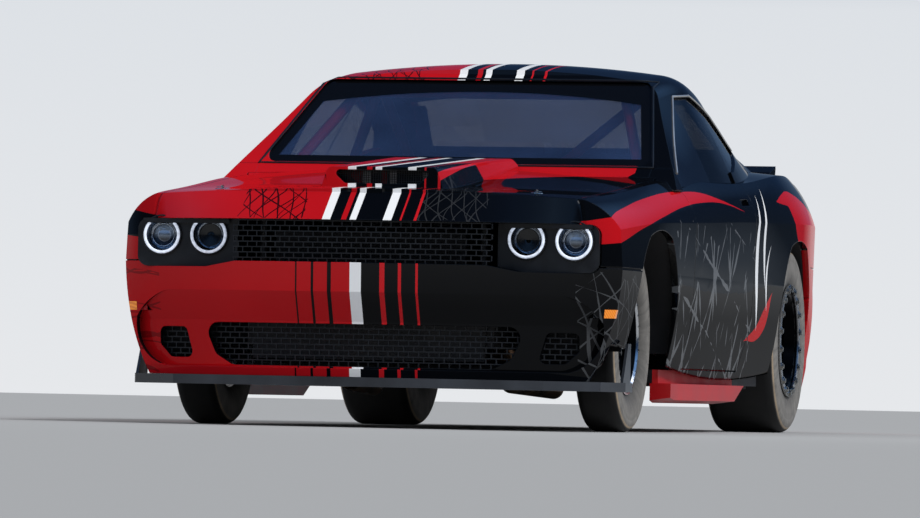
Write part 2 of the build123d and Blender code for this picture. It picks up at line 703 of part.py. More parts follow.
def wheel_tub(station, centre_z, radius, x_in, x_out, low_z):
    """Half-round wheel housing with its inner wall, open below and outwards."""
    with BuildPart() as tub:
        with BuildSketch(Plane.YZ.offset(x_in)):
            with Locations((along(station), centre_z)):
                Circle(radius + floor_sheet)
                with Locations((0, -radius)):
                    Rectangle(2 * (radius + floor_sheet), 2 * radius)
            with Locations((along(station), low_z - 400)):
                Rectangle(3 * radius, 800, mode=Mode.SUBTRACT)
        extrude(amount=x_out - x_in)
        with BuildSketch(Plane.YZ.offset(x_in + floor_sheet)):
            with Locations((along(station), centre_z)):
                Circle(radius)
                with Locations((0, -radius)):
                    Rectangle(2 * radius, 2 * radius)
        extrude(amount=x_out - x_in, mode=Mode.SUBTRACT)
        add(body_liner, mode=Mode.INTERSECT)
    return tub.part


# Wheel housings, trimmed to the inside of the body's skin
body_liner = body_solid(skin + seat_gap * 2, body_floor_z - 200)
front_tub_r, rear_tub_r = 432, 424
with BuildPart() as wheel_tubs:
    add(wheel_tub(0, front_tyre_r, front_tub_r, 500, 960, 300))
    add(wheel_tub(wheelbase, rear_tyre_r, rear_tub_r, rear_tub_x, 970, 300))
    add(block((540, 600), (wheelbase - 64, wheelbase + 64), (250, 500)), mode=Mode.SUBTRACT)
    mirror(about=Plane.YZ)
write(wheel_tubs.part, "wheel_tubs")

# Frame rails, with the radiator support and the rear cross member
rail_x, rail_half, rail_top_z = 440, 28, 400
with BuildPart() as frame_rails:
    for side in (-1, 1):
        x = side * rail_x
        add(block((x - rail_half, x + rail_half), (-690, floor_front - seat_gap), (300, rail_top_z)))
        x = side * 490
        add(block((x - rail_half, x + rail_half), (floor_rear + floor_sheet + seat_gap, 3890),
                  (470, trunk_z - seat_gap)))
    add(block((-rail_x, rail_x), (-720, -690), (250, rail_top_z)))
    add(block((-490, 490), (3860, 3890), (470, trunk_z - seat_gap)))
    add(block((-412, 412), (-70, 70), (178, 238)))
    for side in (-1, 1):
        x = side * rail_x
        add(block((x - rail_half, x + rail_half), (-60, 60), (200, 301)))
    for x, station, foot in [(420, -664, 380), (500, 3850, trunk_z + floor_sheet + seat_gap)]:
        with BuildPart(mode=Mode.PRIVATE) as stops:
            with BuildSketch(Plane.XY.offset(foot)):
                with Locations((x, along(station)), (-x, along(station))):
                    Circle(12)
            extrude(amount=700)
            add(body_liner, mode=Mode.INTERSECT)
        add(stops.part)
write(frame_rails.part, "frame_rails")

# Roll cage: main hoop, roof bars, windshield posts, door bars, diagonal and rear stays
cage_r = 21
hoop_y, hoop_top = 1730, 1352
with BuildPart() as roll_cage:
    floor_top = floor_z + floor_sheet + 2 * seat_gap
    hoop = [point(-690, hoop_y, floor_top), point(-700, hoop_y, 940), point(-560, hoop_y, hoop_top),
            point(560, hoop_y, hoop_top), point(700, hoop_y, 940), point(690, hoop_y, floor_top)]
    add(tube(hoop, cage_r))
    add(tube([point(-690, hoop_y, 880), point(690, hoop_y, 880)], cage_r))
    add(tube([point(560, hoop_y, hoop_top), point(-20, hoop_y, 880)], cage_r))
    for side in (-1, 1):
        add(tube([point(side * 560, hoop_y, hoop_top), point(side * 540, 1300, 1322), point(side * 690, 860, 1010),
                  point(side * 700, 720, floor_top + 3.4)], cage_r))
        add(tube([point(side * 702, 745, 760), point(side * 694, hoop_y, 420)], cage_r))
        add(tube([point(side * 540, hoop_y, hoop_top - 10), point(side * 500, 2420, 900)], cage_r))
    add(tube([point(-540, 1300, 1322), point(540, 1300, 1322)], cage_r))
write(roll_cage.part, "roll_cage")

# Driver's bucket seat on the left
seat_x = 425
with BuildPart() as seat:
    for station, half, low, top in [(1100, 205, 300, 400), (1500, 200, 262, 372)]:
        with BuildSketch(cross_plane(station)):
            with BuildLine():
                Polyline((-half, low), (-half - 14, top + 60), (-half + 40, top + 60), (-half + 70, top),
                         (half - 70, top), (half - 40, top + 60), (half + 14, top + 60), (half, low), close=True)
            make_face()
    loft()
    for z, half, front, thick in [(300, 204, 1470, 110), (760, 226, 1546, 110), (1080, 150, 1625, 60)]:
        with BuildSketch(Plane.XY.offset(z)):
            with BuildLine():
                Polyline(*[(x, along(y)) for x, y in [
                    (-half, front + thick), (-half - 12, front - 60), (-half + 30, front - 60),
                    (-half + 60, front), (half - 60, front), (half - 30, front - 60),
                    (half + 12, front - 60), (half, front + thick)]], close=True)
            make_face()
    loft()
    for x in (-160, 160):
        add(block((x - 15, x + 15), (1130, 1480), (floor_z + floor_sheet + seat_gap, 320)))
write(seat.part.moved(Location((seat_x, 0, 0))), "seat")

# Steering column, and the dashboard that it passes through, held between the cage's front legs
wheel_tilt = 22
column_foot, column_way = point(seat_x, 930, 838), Vector(0, cos(radians(wheel_tilt)), sin(radians(wheel_tilt)))
column_length, column_r, column_rear = 120, 24, 260
hub_place = Vector(column_foot) + column_way * (column_length + seat_gap)
column_start = Plane(origin=Vector(column_foot) - column_way * column_rear, x_dir=(1, 0, 0), z_dir=column_way)
with BuildPart() as steering_column:
    with BuildSketch(column_start):
        Circle(column_r)
    extrude(amount=column_length + column_rear)
write(steering_column.part, "steering_column")
dash_half = 669.7
with BuildPart() as dashboard:
    with BuildSketch(Plane.YZ.offset(-dash_half)):
        with BuildLine():
            Polyline(*side_points([(690, 800), (690, 930), (770, 948), (905, 935), (925, 880),
                                   (860, 760)]), close=True)
        make_face()
    extrude(amount=2 * dash_half)
    with BuildSketch(column_start):
        Circle(column_r + seat_gap)
    extrude(amount=column_length + column_rear, mode=Mode.SUBTRACT)
write(dashboard.part, "dashboard")

# Steering wheel
with BuildPart() as steering_wheel:
    with BuildSketch(Plane(origin=hub_place, x_dir=(1, 0, 0), z_dir=column_way)):
        Circle(34)
    extrude(amount=30)
    with BuildSketch(Plane(origin=hub_place + column_way * 8, x_dir=(1, 0, 0), z_dir=column_way)):
        for angle in (0, 120, 240):
            with Locations(Location((0, 0), angle + 90)):
                with Locations((80, 0)):
                    Rectangle(160, 24)
    extrude(amount=8)
    with BuildSketch(Plane(origin=hub_place + column_way * 14, x_dir=(1, 0, 0), z_dir=(0, -column_way.Z, column_way.Y))):
        with Locations((165, 0)):
            Circle(14)
    revolve(axis=Axis(hub_place, column_way))
write(steering_wheel.part, "steering_wheel")


def turned(profile, station, z, x_shift=0):
    """Solid of revolution about a crosswise axis; the profile is (x, radius)."""
    with BuildPart() as lathe:
        with BuildSketch(Plane.XZ):
            with BuildLine():
                Polyline(*[(x + x_shift, r) for x, r in profile], close=True)
            make_face()
        revolve(axis=Axis.X)
    return lathe.part.moved(Location((0, along(station), z)))


def tyre_solid(radius, width, outer_x, bead_r, bead_half, station, shoulder):
    """Slick tyre with a flat tread, round shoulders and bulged side walls."""
    middle = outer_x - width / 2
    half = width / 2
    with BuildPart() as tyre:
        with BuildSketch(Plane.XZ):
            with BuildLine():
                tread = half - shoulder
                sag_r = (radius + bead_r) / 2
                Line((middle, radius), (middle + tread, radius))
                ThreePointArc((middle + tread, radius), (middle + half - shoulder * 0.25, radius - shoulder * 0.35),
                              (middle + half - 1, radius - shoulder * 1.3))
                ThreePointArc((middle + half - 1, radius - shoulder * 1.3), (middle + half, sag_r),
                              (middle + bead_half, bead_r + 14))
                Line((middle + bead_half, bead_r + 14), (middle + bead_half, bead_r))
                Line((middle + bead_half, bead_r), (middle, bead_r))
                mirror(about=Plane.YZ.offset(middle))
            make_face()
        revolve(axis=Axis.X)
    return tyre.part.moved(Location((0, along(station), radius)))


# Tyres: narrow at the front, wide slicks at the rear
front_middle = front_outer_x - front_tyre_w / 2
rear_middle = rear_outer_x - rear_tyre_w / 2
front_bead_half, rear_bead_half = 56, 132
front_tyre = tyre_solid(front_tyre_r, front_tyre_w, front_outer_x, front_rim_r, front_bead_half, 0, 34)
rear_tyre = tyre_solid(rear_tyre_r, rear_tyre_w, rear_outer_x, rear_rim_r, rear_bead_half, wheelbase, 42)
write_pair(front_tyre, "tyre_front")
write_pair(rear_tyre, "tyre_rear")

# Front wheel: rim barrel, dished centre with round windows, hub and brake disc
disc_r, disc_half = 142, 6
front_disc_x = front_middle - 62
with BuildPart() as rim_front:
    add(turned([(-56.3, 202.7), (-56.3, 214), (-61, 215), (-62, 200), (-54, 184), (-20, 176), (30, 176), (52, 188),
                (62, 200), (61, 215), (56.3, 214), (56.3, 202.7)], 0, front_tyre_r, front_middle))
    add(turned([(-10, 182), (-10, 60), (-56, 60), (-56, 34), (24, 34), (34, 22), (34, 0), (50, 0), (50, 40), (24, 52),
                (8, 70), (2, 150), (14, 182)], 0, front_tyre_r, front_middle))
    add(turned([(-disc_half, 0), (disc_half, 0), (disc_half, disc_r), (-disc_half, disc_r)],
               0, front_tyre_r, front_disc_x))
    with BuildSketch(Plane(origin=point(front_middle - 40, 0, front_tyre_r), x_dir=(0, 1, 0), z_dir=(1, 0, 0))):
        with PolarLocations(116, 8):
            SlotOverall(60, 40, rotation=0)
    extrude(amount=60, mode=Mode.SUBTRACT)
write_pair(rim_front.part, "rim_front")

# Rear wheel: deep rim with a bolted bead ring, dished centre, hub and brake disc
rear_disc_x = 606
with BuildPart() as rim_rear:
    add(turned([(-132.3, 204.7), (-132.3, 218), (-137, 219), (-138, 204), (-130, 186), (-60, 176), (90, 176),
                (132, 190), (136, 204), (148, 206), (148, 232), (141, 232), (141, 212), (132.3, 210),
                (132.3, 204.7)], wheelbase, rear_tyre_r, rear_middle))
    add(turned([(20, 180), (20, 70), (-162.5, 62), (-162.5, 0), (70, 0), (70, 44), (44, 56), (34, 150), (44, 180)],
               wheelbase, rear_tyre_r, rear_middle))
    add(turned([(-disc_half, 0), (disc_half, 0), (disc_half, disc_r), (-disc_half, disc_r)],
               wheelbase, rear_tyre_r, rear_disc_x))
    with BuildSketch(Plane(origin=point(rear_middle - 10, wheelbase, rear_tyre_r), x_dir=(0, 1, 0), z_dir=(1, 0, 0))):
        with PolarLocations(116, 8):
            SlotOverall(60, 40, rotation=0)
    extrude(amount=80, mode=Mode.SUBTRACT)
write_pair(rim_rear.part, "rim_rear")

# Steering knuckle with spindle plate, caliper, steering arm and strut
strut_r, strut_top = 26, 762
arm_end = point(kingpin_x - 8, 150, 270)
with BuildPart() as knuckle:
    add(tube([point(kingpin_x, 0, 232), point(kingpin_x, 0, strut_top)], strut_r))
    add(tube([point(kingpin_x, 0, front_tyre_r), point(front_disc_x - disc_half - seat_gap, 0, front_tyre_r)], 44))
    add(block((kingpin_x - 12, kingpin_x + 16), (-60, 60), (250, 470)))
    add(tube([point(kingpin_x, 20, 270), arm_end], 13))
    for low in (500, 540, 580, 620, 660, 700):
        with BuildSketch(Plane.XY.offset(low)):
            with Locations((kingpin_x, along(0))):
                Circle(44)
        extrude(amount=14)
    add(block((front_disc_x - 32, front_disc_x + 30), (-154, -84), (front_tyre_r - 60, front_tyre_r + 60)))
    add(block((front_disc_x - disc_half - 5, front_disc_x + disc_half + 5), (-156, -60),
              (front_tyre_r - 62, front_tyre_r + 62)), mode=Mode.SUBTRACT)
    add(block((front_disc_x - 50, front_disc_x + 32), (-161, -147), (front_tyre_r - 48, front_tyre_r + 48)))
    add(block((kingpin_x, front_disc_x - disc_half - 6), (-150, -40), (front_tyre_r - 20, front_tyre_r + 20)))
write_pair(knuckle.part, "knuckle")

# Lower control arms, from the cross member's ears out to the kingpins
with BuildPart() as front_links:
    for side in (-1, 1):
        inner_x = side * (rail_x + rail_half + 14 + seat_gap)
        ball = point(side * kingpin_x, 0, 206)
        add(tube([point(inner_x, 60, 216), ball, point(inner_x, -60, 216)], 14))
        with BuildSketch(Plane.XY.offset(190)):
            with Locations((side * kingpin_x, along(0))):
                Circle(24)
        extrude(amount=41.7)
        add(tube([point(side * 340, 150, 236), point(side * (kingpin_x - 8), 150, 246.7)], 10))
    add(tube([point(-340, 150, 236), point(340, 150, 236)], 24))
    for side in (-1, 1):
        add(block((side * 300 - 15, side * 300 + 15), (70.3, 160), (215, 230)))
write(front_links.part, "front_links")

# Engine as one plain block, gearbox and propeller shaft
with BuildPart() as engine:
    add(block((-250, 250), (-170, 430), (264, 800)))
    add(block((-150, 150), (-140, 400), (800, 860)))
write(engine.part, "engine")
with BuildPart() as gearbox:
    for station, radius in [(430.3, 192), (600, 150), (1120, 84)]:
        with BuildSketch(cross_plane(station)):
            with Locations((0, 345)):
                Circle(radius)
    loft(ruled=True)
with BuildPart() as propeller_shaft:
    add(tube([point(0, 1120.3, 345), point(0, 2769, 372)], 44))
with BuildPart() as drivetrain:
    add(gearbox.part)
    add(propeller_shaft.part)
write(drivetrain.part, "drivetrain")

# Rear axle housing with its brakes' calipers, and the links and coil-overs that carry it
with BuildPart() as rear_axle:
    axle_end = rear_disc_x - disc_half - seat_gap
    add(tube([point(-axle_end, wheelbase, rear_tyre_r), point(axle_end, wheelbase, rear_tyre_r)], 44))
    add(turned([(-150, 60), (-60, 150), (60, 150), (150, 60), (150, 0), (-150, 0)], wheelbase, rear_tyre_r))
    add(tube([point(0, 2771, 372), point(0, 2850, 376)], 62))
    for side in (-1, 1):
        x = side * 380
        add(block((x - 20, x + 20), (wheelbase - 110, wheelbase + 64), (235, 462)))
        add(block((x - 20, x + 20), (wheelbase + 60, wheelbase + 134), (262, 288)))
write(rear_axle.part, "rear_axle")
link_r = 18
with BuildPart() as rear_links:
    for side in (-1, 1):
        for front_z, rear_z in [(300, 276), (425, 420)]:
            link_front = floor_rear + floor_sheet + seat_gap
            link_lean = link_r * (front_z - rear_z) / (wheelbase - 112 - link_front)
            add(tube([point(side * 380, link_front + link_lean, front_z),
                      point(side * 380, wheelbase - 112, rear_z)], link_r))
with BuildPart() as rear_shocks:
    for side in (-1, 1):
        add(tube([point(side * 380, wheelbase + 112, 290), point(side * 360, wheelbase + 112, trunk_z - 2)], 22))
        for low in (330, 370, 410, 450, 490):
            with BuildSketch(Plane.XY.offset(low)):
                with Locations((side * 372, along(wheelbase + 112))):
                    Circle(42)
            extrude(amount=14)
with BuildPart() as rear_suspension:
    add(rear_links.part)
    add(rear_shocks.part)
write(rear_suspension.part, "rear_suspension")

# Exhaust: a collector each side, running down and back under the floor
with BuildPart() as exhaust:
    for side in (-1, 1):
        add(tube([point(side * 300, 110, 430), point(side * 316, 330, 179.6), point(side * 360, 900, 161.5)], 42))
write(exhaust.part, "exhaust")

# Radiator behind the lower grille
with BuildPart() as radiator:
    add(block((-360, 360), (-716, -668), (rail_top_z + seat_gap, 720)))
write(radiator.part, "radiator")

# Fuel cell under the trunk floor
with BuildPart() as fuel_cell:
    add(block((-250, 250), (3380, 3720), (330, 559.7)))
write(fuel_cell.part, "fuel_cell")
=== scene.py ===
import math
from functools import partial

import bpy
import bmesh
from mathutils import Matrix, Vector
from mathutils.bvhtree import BVHTree


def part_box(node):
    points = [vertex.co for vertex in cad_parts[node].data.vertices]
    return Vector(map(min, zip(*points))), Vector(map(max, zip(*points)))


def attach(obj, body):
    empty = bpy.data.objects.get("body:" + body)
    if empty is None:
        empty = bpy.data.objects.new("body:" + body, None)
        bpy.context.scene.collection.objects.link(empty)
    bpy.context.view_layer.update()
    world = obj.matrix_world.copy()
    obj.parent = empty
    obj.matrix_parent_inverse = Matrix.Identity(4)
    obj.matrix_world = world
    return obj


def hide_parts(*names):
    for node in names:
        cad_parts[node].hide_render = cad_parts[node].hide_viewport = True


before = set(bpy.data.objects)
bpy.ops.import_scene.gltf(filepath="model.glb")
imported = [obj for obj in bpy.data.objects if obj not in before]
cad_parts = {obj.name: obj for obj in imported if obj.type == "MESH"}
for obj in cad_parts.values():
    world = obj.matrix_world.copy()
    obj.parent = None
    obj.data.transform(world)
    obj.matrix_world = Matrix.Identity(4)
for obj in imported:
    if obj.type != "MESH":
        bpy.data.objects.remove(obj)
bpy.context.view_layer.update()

# Camera
# A long lens at floor level, a little to the car's left of its nose. It keeps the bearing, roll and
# focal length that were fitted to the photograph.
FRONT_AXLE_Y, WHEELBASE = -1.565, 2.946
bearing, roll, aim_rise = math.radians(12.67), math.radians(1.19), math.radians(1.02)
back = Vector((math.sin(bearing) * math.cos(aim_rise), -math.cos(bearing) * math.cos(aim_rise),
               -math.sin(aim_rise)))
right = (-back).cross(Vector((0, 0, 1))).normalized()
up = right.cross(-back)
right_rolled = right * math.cos(roll) + up * math.sin(roll)
up_rolled = up * math.cos(roll) - right * math.sin(roll)
lens = bpy.data.cameras.new("photo_camera")
lens.lens, lens.sensor_width, lens.clip_end = 303.3, 36, 400
camera = bpy.data.objects.new("photo_camera", lens)
camera.rotation_mode = "QUATERNION"
camera.rotation_quaternion = Matrix((right_rolled, up_rolled, back)).transposed().to_quaternion()
camera.location = (6.612, FRONT_AXLE_Y - 28.617, 0.12)
scene = bpy.context.scene
scene.collection.objects.link(camera)
scene.camera = camera
scene.view_settings.view_transform = "Standard"


# Studio
# A wide pale floor, an even soft light all round, one broad key and a strip softbox from the car's
# left. Beyond the floor is a pale backdrop under deep blue, so that black lacquer mirrors something.
def linear(code):
    """Linear colour, as shader sockets take it, of an sRGB hex code."""
    parts = [int(code[i:i + 2], 16) / 255 for i in (0, 2, 4)]
    return [c / 12.92 if c <= 0.04045 else ((c + 0.055) / 1.055) ** 2.4 for c in parts] + [1]


def feed(made, inputs):
    """Give a node's inputs, by name or in order, values, hex colours, sockets or other nodes' outputs."""
    for name, value in inputs.items() if isinstance(inputs, dict) else enumerate(inputs):
        if isinstance(value, bpy.types.Node):
            value = next(output for output in value.outputs if output.enabled)
        if isinstance(value, str):
            value = linear(value)
        if isinstance(value, bpy.types.NodeSocket):
            made.id_data.links.new(value, made.inputs[name])
        else:
            made.inputs[name].default_value = value


def node(tree, kind, inputs=(), operation=None, **settings):
    """Add a node with its settings and inputs. Its kind needs no prefix, and a mix is of colours."""
    kinds = [
        prefix + kind for prefix in ("ShaderNode", "GeometryNode", "") if hasattr(bpy.types, prefix + kind)]
    made = tree.nodes.new(kinds[0])
    if operation:
        made.operation = operation
    if kind == "Mix":
        made.data_type = "RGBA"
    for name, value in settings.items():
        setattr(made, name, value)
    feed(made, inputs)
    return made


floor_mesh = bpy.data.meshes.new("studio_floor")
floor_mesh.from_pydata([(-150, -150, 0), (150, -150, 0), (150, 150, 0), (-150, 150, 0)], [], [(0, 1, 2, 3)])
floor = bpy.data.objects.new("studio_floor", floor_mesh)
scene.collection.objects.link(floor)
floor_paint = bpy.data.materials.new("matt_floor_paint")
floor_paint.use_nodes = True
floor_shader = floor_paint.node_tree.nodes["Principled BSDF"]
feed(floor_shader, {"Base Color": "a9abae", "Roughness": 1.0, "Specular IOR Level": 0.0})
floor_mesh.materials.append(floor_paint)

air = bpy.data.worlds.new("studio_air")
air.use_nodes = True
scene.world = air
air.node_tree.nodes.clear()
add = partial(node, air.node_tree)
ray = add("LightPath")
seen = add("Math", [ray.outputs["Is Camera Ray"], ray.outputs["Is Glossy Ray"]], "MAXIMUM")
seen = add("Math", [seen, ray.outputs["Is Transmission Ray"]], "MAXIMUM")
look = add("TexCoord")
way = add("SeparateXYZ", [look.outputs["Generated"]])
sky = add("ValToRGB", [way.outputs[2]])
dusk = add("ValToRGB", [way.outputs[2]])
for ramp, stops in [
        (sky, [(0, "e6e8eb"), (0.052, "dde1e6"), (0.075, "6b86a8"), (0.17, "2f4b74"), (1, "16263f")]),
        (dusk, [(0, "a3abb5"), (0.004, "6b7684"), (0.012, "2f3b4b"), (0.19, "223654"), (0.32, "5c87bd"),
                (0.7, "7ba3d6"), (1, "38598c")])]:
    for place, code in stops[1:-1]:
        ramp.color_ramp.elements.new(place)
    for element, (place, code) in zip(ramp.color_ramp.elements, stops):
        element.position, element.color = place, linear(code)
# A map range takes a value, the range it comes from, and the range it goes to if that isn't 0 to 1
beside = add("MapRange", [way.outputs[0], -0.02, 0.10])
ahead_of = add("MapRange", [way.outputs[1], 0.3, -0.2])
beside = add("Math", [beside, ahead_of], "MAXIMUM")
air_tone = add("Mix", {0: beside, 6: sky.outputs[0], 7: dusk.outputs[0]})
backdrop = add("Background", {"Color": air_tone, "Strength": 1.0})
fill = add("Background", {"Color": "f6f7f8", "Strength": 0.62})
shown = add("MixShader", [seen, fill, backdrop])
add("OutputWorld", {"Surface": shown})

sun = bpy.data.lights.new("broad_key", "SUN")
sun.energy, sun.angle = 1.9, math.radians(14)
key = bpy.data.objects.new("broad_key", sun)
key.rotation_mode = "QUATERNION"
key.rotation_quaternion = Vector((-0.62, 0.34, -0.70)).to_track_quat("-Z", "Y")
key.visible_glossy = False
scene.collection.objects.link(key)
strip = bpy.data.lights.new("strip_softbox", "AREA")
strip.shape, strip.size, strip.size_y, strip.energy = "RECTANGLE", 7.0, 0.5, 26
edge_light = bpy.data.objects.new("strip_softbox", strip)
edge_light.location = (3.9, -0.8, 3.2)
edge_light.rotation_mode = "QUATERNION"
edge_light.rotation_quaternion = (Vector((0, -0.5, 0.7)) - edge_light.location).to_track_quat("-Z", "Y")
scene.collection.objects.link(edge_light)


# Floor pan, frame rails and wheel housings
# Pressed steel sheet and box rails, welded, then coated in satin black and dusted by road grit.
SIDES = [("left", 1), ("right", -1)]


def opened(mat):
    """A material, new if named, with a function that adds its nodes, its shader and object coordinates."""
    if isinstance(mat, str):
        mat = bpy.data.materials.new(mat)
    mat.use_nodes = True
    add = partial(node, mat.node_tree)
    return mat, add, mat.node_tree.nodes["Principled BSDF"], add("TexCoord").outputs["Object"]


def finish(name, pale, dark, patch, grain, dent, rough, metal=0.0, coat=0.0):
    """A worn solid finish: two tones in soft patches, and a grain pressed into it, both sized in metres."""
    mat, add, shader, spot = opened(name)
    patches = add("TexNoise", {"Vector": spot, "Scale": 1 / patch, "Detail": 5.0, "Roughness": 0.62})
    share = add("MapRange", [patches, 0.36, 0.66])
    tone = add("Mix", {0: share, 6: dark, 7: pale})
    gloss = add("MapRange", [patches, 0.3, 0.7, rough[0], rough[1]])
    grains = add("TexNoise", {"Vector": spot, "Scale": 1 / grain, "Detail": 3.0})
    pressed = add("Bump", {"Height": grains, "Strength": 0.5, "Distance": dent})
    feed(shader, {
        "Base Color": tone, "Roughness": gloss, "Normal": pressed, "Metallic": metal, "Coat Weight": coat,
        "Coat Roughness": 0.08})
    return mat


def dress(mat, *names):
    """Give CAD nodes their finish."""
    for name in names:
        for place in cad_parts[name].material_slots:
            place.material = mat


# Satin chassis coat: dark and even, with paler dust in soft patches
chassis_coat = finish("satin_chassis_coat", "2b2a2a", "131315", 0.22, 0.004, 0.0006, (0.42, 0.62))
dress(chassis_coat, "frame_rails")
# The sills' outer faces are sprayed red with the skirts that hang from them
sill_coat = finish("red_sprayed_sill", "2b2a2a", "131315", 0.22, 0.004, 0.0006, (0.4, 0.6))
sill_coat, add, shader, spot = opened(sill_coat)
under = shader.inputs["Base Color"].links[0].from_socket
axes = add("SeparateXYZ", [spot])
sill = add("Math", [add("Math", [axes], "ABSOLUTE"), 0.845], "GREATER_THAN")
along_sill = add("Math", [axes.outputs[1], -0.40, 0.78], "COMPARE")
sill = add("Math", [sill, along_sill], "MULTIPLY")
tone = add("Mix", {0: sill, 6: under, 7: "b5151b"})
feed(shader, {"Base Color": tone})
dress(sill_coat, "floor_pan")
# Pressed plastic liners: nearly black, dull, peppered by stones
liner = finish("pressed_liner_plastic", "17171a", "0a0a0b", 0.12, 0.006, 0.0010, (0.7, 0.85))
dress(liner, "wheel_tubs")

# Engine, gearbox, exhaust collectors, radiator and fuel cell
# A cast iron engine on an aluminium gearbox, steel collectors that heat has browned, a soldered
# aluminium radiator and a folded aluminium fuel cell.
cast_iron = finish("sand_cast_iron", "4a4b4d", "2c2d2f", 0.09, 0.003, 0.0016, (0.5, 0.7), metal=0.6)
dress(cast_iron, "engine", "drivetrain")
browned = finish("heat_browned_steel", "a58664", "5a4335", 0.11, 0.002, 0.0003, (0.22, 0.42), metal=0.9)
dress(browned, "exhaust")
sheet_metal = finish("folded_aluminium_sheet", "b9bcc0", "8e9296", 0.3, 0.0025, 0.0002, (0.3, 0.5),
                     metal=0.95)
dress(sheet_metal, "fuel_cell")
core = finish("dark_finned_core", "1d1f22", "0b0c0e", 0.1, 0.003, 0.0004, (0.5, 0.7), metal=0.3)
dress(core, "radiator")


def group(name, sockets):
    """An empty geometry tree with named inputs, a function that adds its nodes, and the inputs' sockets."""
    made = bpy.data.node_groups.new(name, "GeometryNodeTree")
    made.interface.new_socket("Geometry", in_out="INPUT", socket_type="NodeSocketGeometry")
    for label, kind in sockets:
        made.interface.new_socket(label, in_out="INPUT", socket_type="NodeSocket" + kind)
    made.interface.new_socket("Geometry", in_out="OUTPUT", socket_type="NodeSocketGeometry")
    return made, partial(node, made), node(made, "NodeGroupInput").outputs


def grown(name, tree, values, base=None):
    """The plain mesh that a geometry tree gives from a base mesh and its named inputs."""
    holder = bpy.data.objects.new(name, base or bpy.data.meshes.new(name + "_base"))
    scene.collection.objects.link(holder)
    modifier = holder.modifiers.new("grow", "NODES")
    modifier.node_group = tree
    for item in tree.interface.items_tree:
        if item.in_out == "INPUT" and item.name in values:
            modifier[item.identifier] = values[item.name]
    mesh = bpy.data.meshes.new_from_object(holder.evaluated_get(bpy.context.evaluated_depsgraph_get()))
    bpy.data.objects.remove(holder)
    mesh.name = name
    return mesh


def fit(name, mesh, body, mat=None, stands_for=()):
    """Put a finished mesh on the car, on the body that carries it."""
    piece = bpy.data.objects.new(name, mesh)
    scene.collection.objects.link(piece)
    if mat:
        mesh.materials.clear()
        mesh.materials.append(mat)
    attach(piece, body)
    if stands_for:
        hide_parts(*stands_for)
    return piece


fin_tree, add, given = group("row_of_bars", [
    ("Count", "Int"), ("Start", "Vector"), ("Step", "Vector"), ("Size", "Vector"), ("Material", "Material")])
line = add("MeshLine", {"Count": given["Count"], "Start Location": given["Start"], "Offset": given["Step"]},
           mode="OFFSET")
bar = add("MeshCube", {"Size": given["Size"]})
row = add("InstanceOnPoints", {"Points": line, "Instance": bar})
solid = add("RealizeInstances", {"Geometry": row})
painted = add("SetMaterial", {"Geometry": solid, "Material": given["Material"]})
add("NodeGroupOutput", {"Geometry": painted})

low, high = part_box("radiator")
fins = grown("radiator_fins", fin_tree, {
    "Count": 88, "Start": (low.x + 0.016, low.y - 0.002, (low.z + high.z) / 2), "Step": (0.0079, 0, 0),
    "Size": (0.0018, 0.003, high.z - low.z - 0.06), "Material": core})
fit("radiator_fins", fins, "car")
rows = grown("radiator_tubes", fin_tree, {
    "Count": 22, "Start": ((low.x + high.x) / 2, low.y - 0.0012, low.z + 0.035), "Step": (0, 0, 0.0119),
    "Size": (high.x - low.x - 0.02, 0.0022, 0.0022), "Material": core})
fit("radiator_tubes", rows, "car")

# Suspension, steering, axle and brakes
# Forged and welded steel arms, links and knuckles with a thin satin coat, worn to bare metal where
# they rub; the coils are part of the struts.
forged = finish("coated_forged_steel", "6d6f73", "35373a", 0.06, 0.002, 0.0004, (0.3, 0.5), metal=0.85)
dress(forged, "front_links", "rear_suspension", "rear_axle", "knuckle_left", "knuckle_right")

# Wheels
# Spun aluminium rims with a dished, windowed centre. The lips are polished, the centres anodised, and
# the steel discs behind them are ground. Rear rims carry a bolted ring that clamps the tyre's bead.
ring_tree, add, given = group("circle_of_bolts", [
    ("Count", "Int"), ("Radius", "Float"), ("Head", "Float"), ("Height", "Float"), ("Centre", "Vector"),
    ("Turn", "Vector"), ("Material", "Material")])
circle = add("MeshCircle", {"Vertices": given["Count"], "Radius": given["Radius"]})
washer_r = add("Math", [given["Head"], 1.45], "MULTIPLY")
washer_h = add("Math", [given["Height"], 0.3], "MULTIPLY")
head = add("MeshCylinder", {"Vertices": 6, "Radius": given["Head"], "Depth": given["Height"]})
washer = add("MeshCylinder", {"Vertices": 14, "Radius": washer_r, "Depth": washer_h})
bolt = add("JoinGeometry", [head])
feed(bolt, [washer])
spin = add("FunctionNodeRandomValue", {"Min": (0, 0, 0), "Max": (0, 0, 1.05), "Seed": 7},
           data_type="FLOAT_VECTOR")
bolts = add("InstanceOnPoints", {"Points": circle, "Instance": bolt, "Rotation": spin})
solid = add("RealizeInstances", {"Geometry": bolts})
placed = add("Transform", {"Geometry": solid, "Translation": given["Centre"], "Rotation": given["Turn"]})
painted = add("SetMaterial", {"Geometry": placed, "Material": given["Material"]})
add("NodeGroupOutput", {"Geometry": painted})

bolt_steel = finish("zinc_plated_steel", "c9c9c4", "8c8d8c", 0.01, 0.001, 0.0001, (0.2, 0.35), metal=1.0)
hub_alloy = finish("machined_hub_aluminium", "d4d6da", "a9acb2", 0.05, 0.001, 0.0001, (0.14, 0.26),
                   metal=1.0)


def from_axle(station, height):
    """Where a point lies off an axle, and how far from it."""
    place = add("VectorMath", [spot, (0, FRONT_AXLE_Y + station, height)], "SUBTRACT")
    flat = add("VectorMath", [place, (0, 1, 1)], "MULTIPLY")
    return place, add("VectorMath", [flat], "LENGTH")


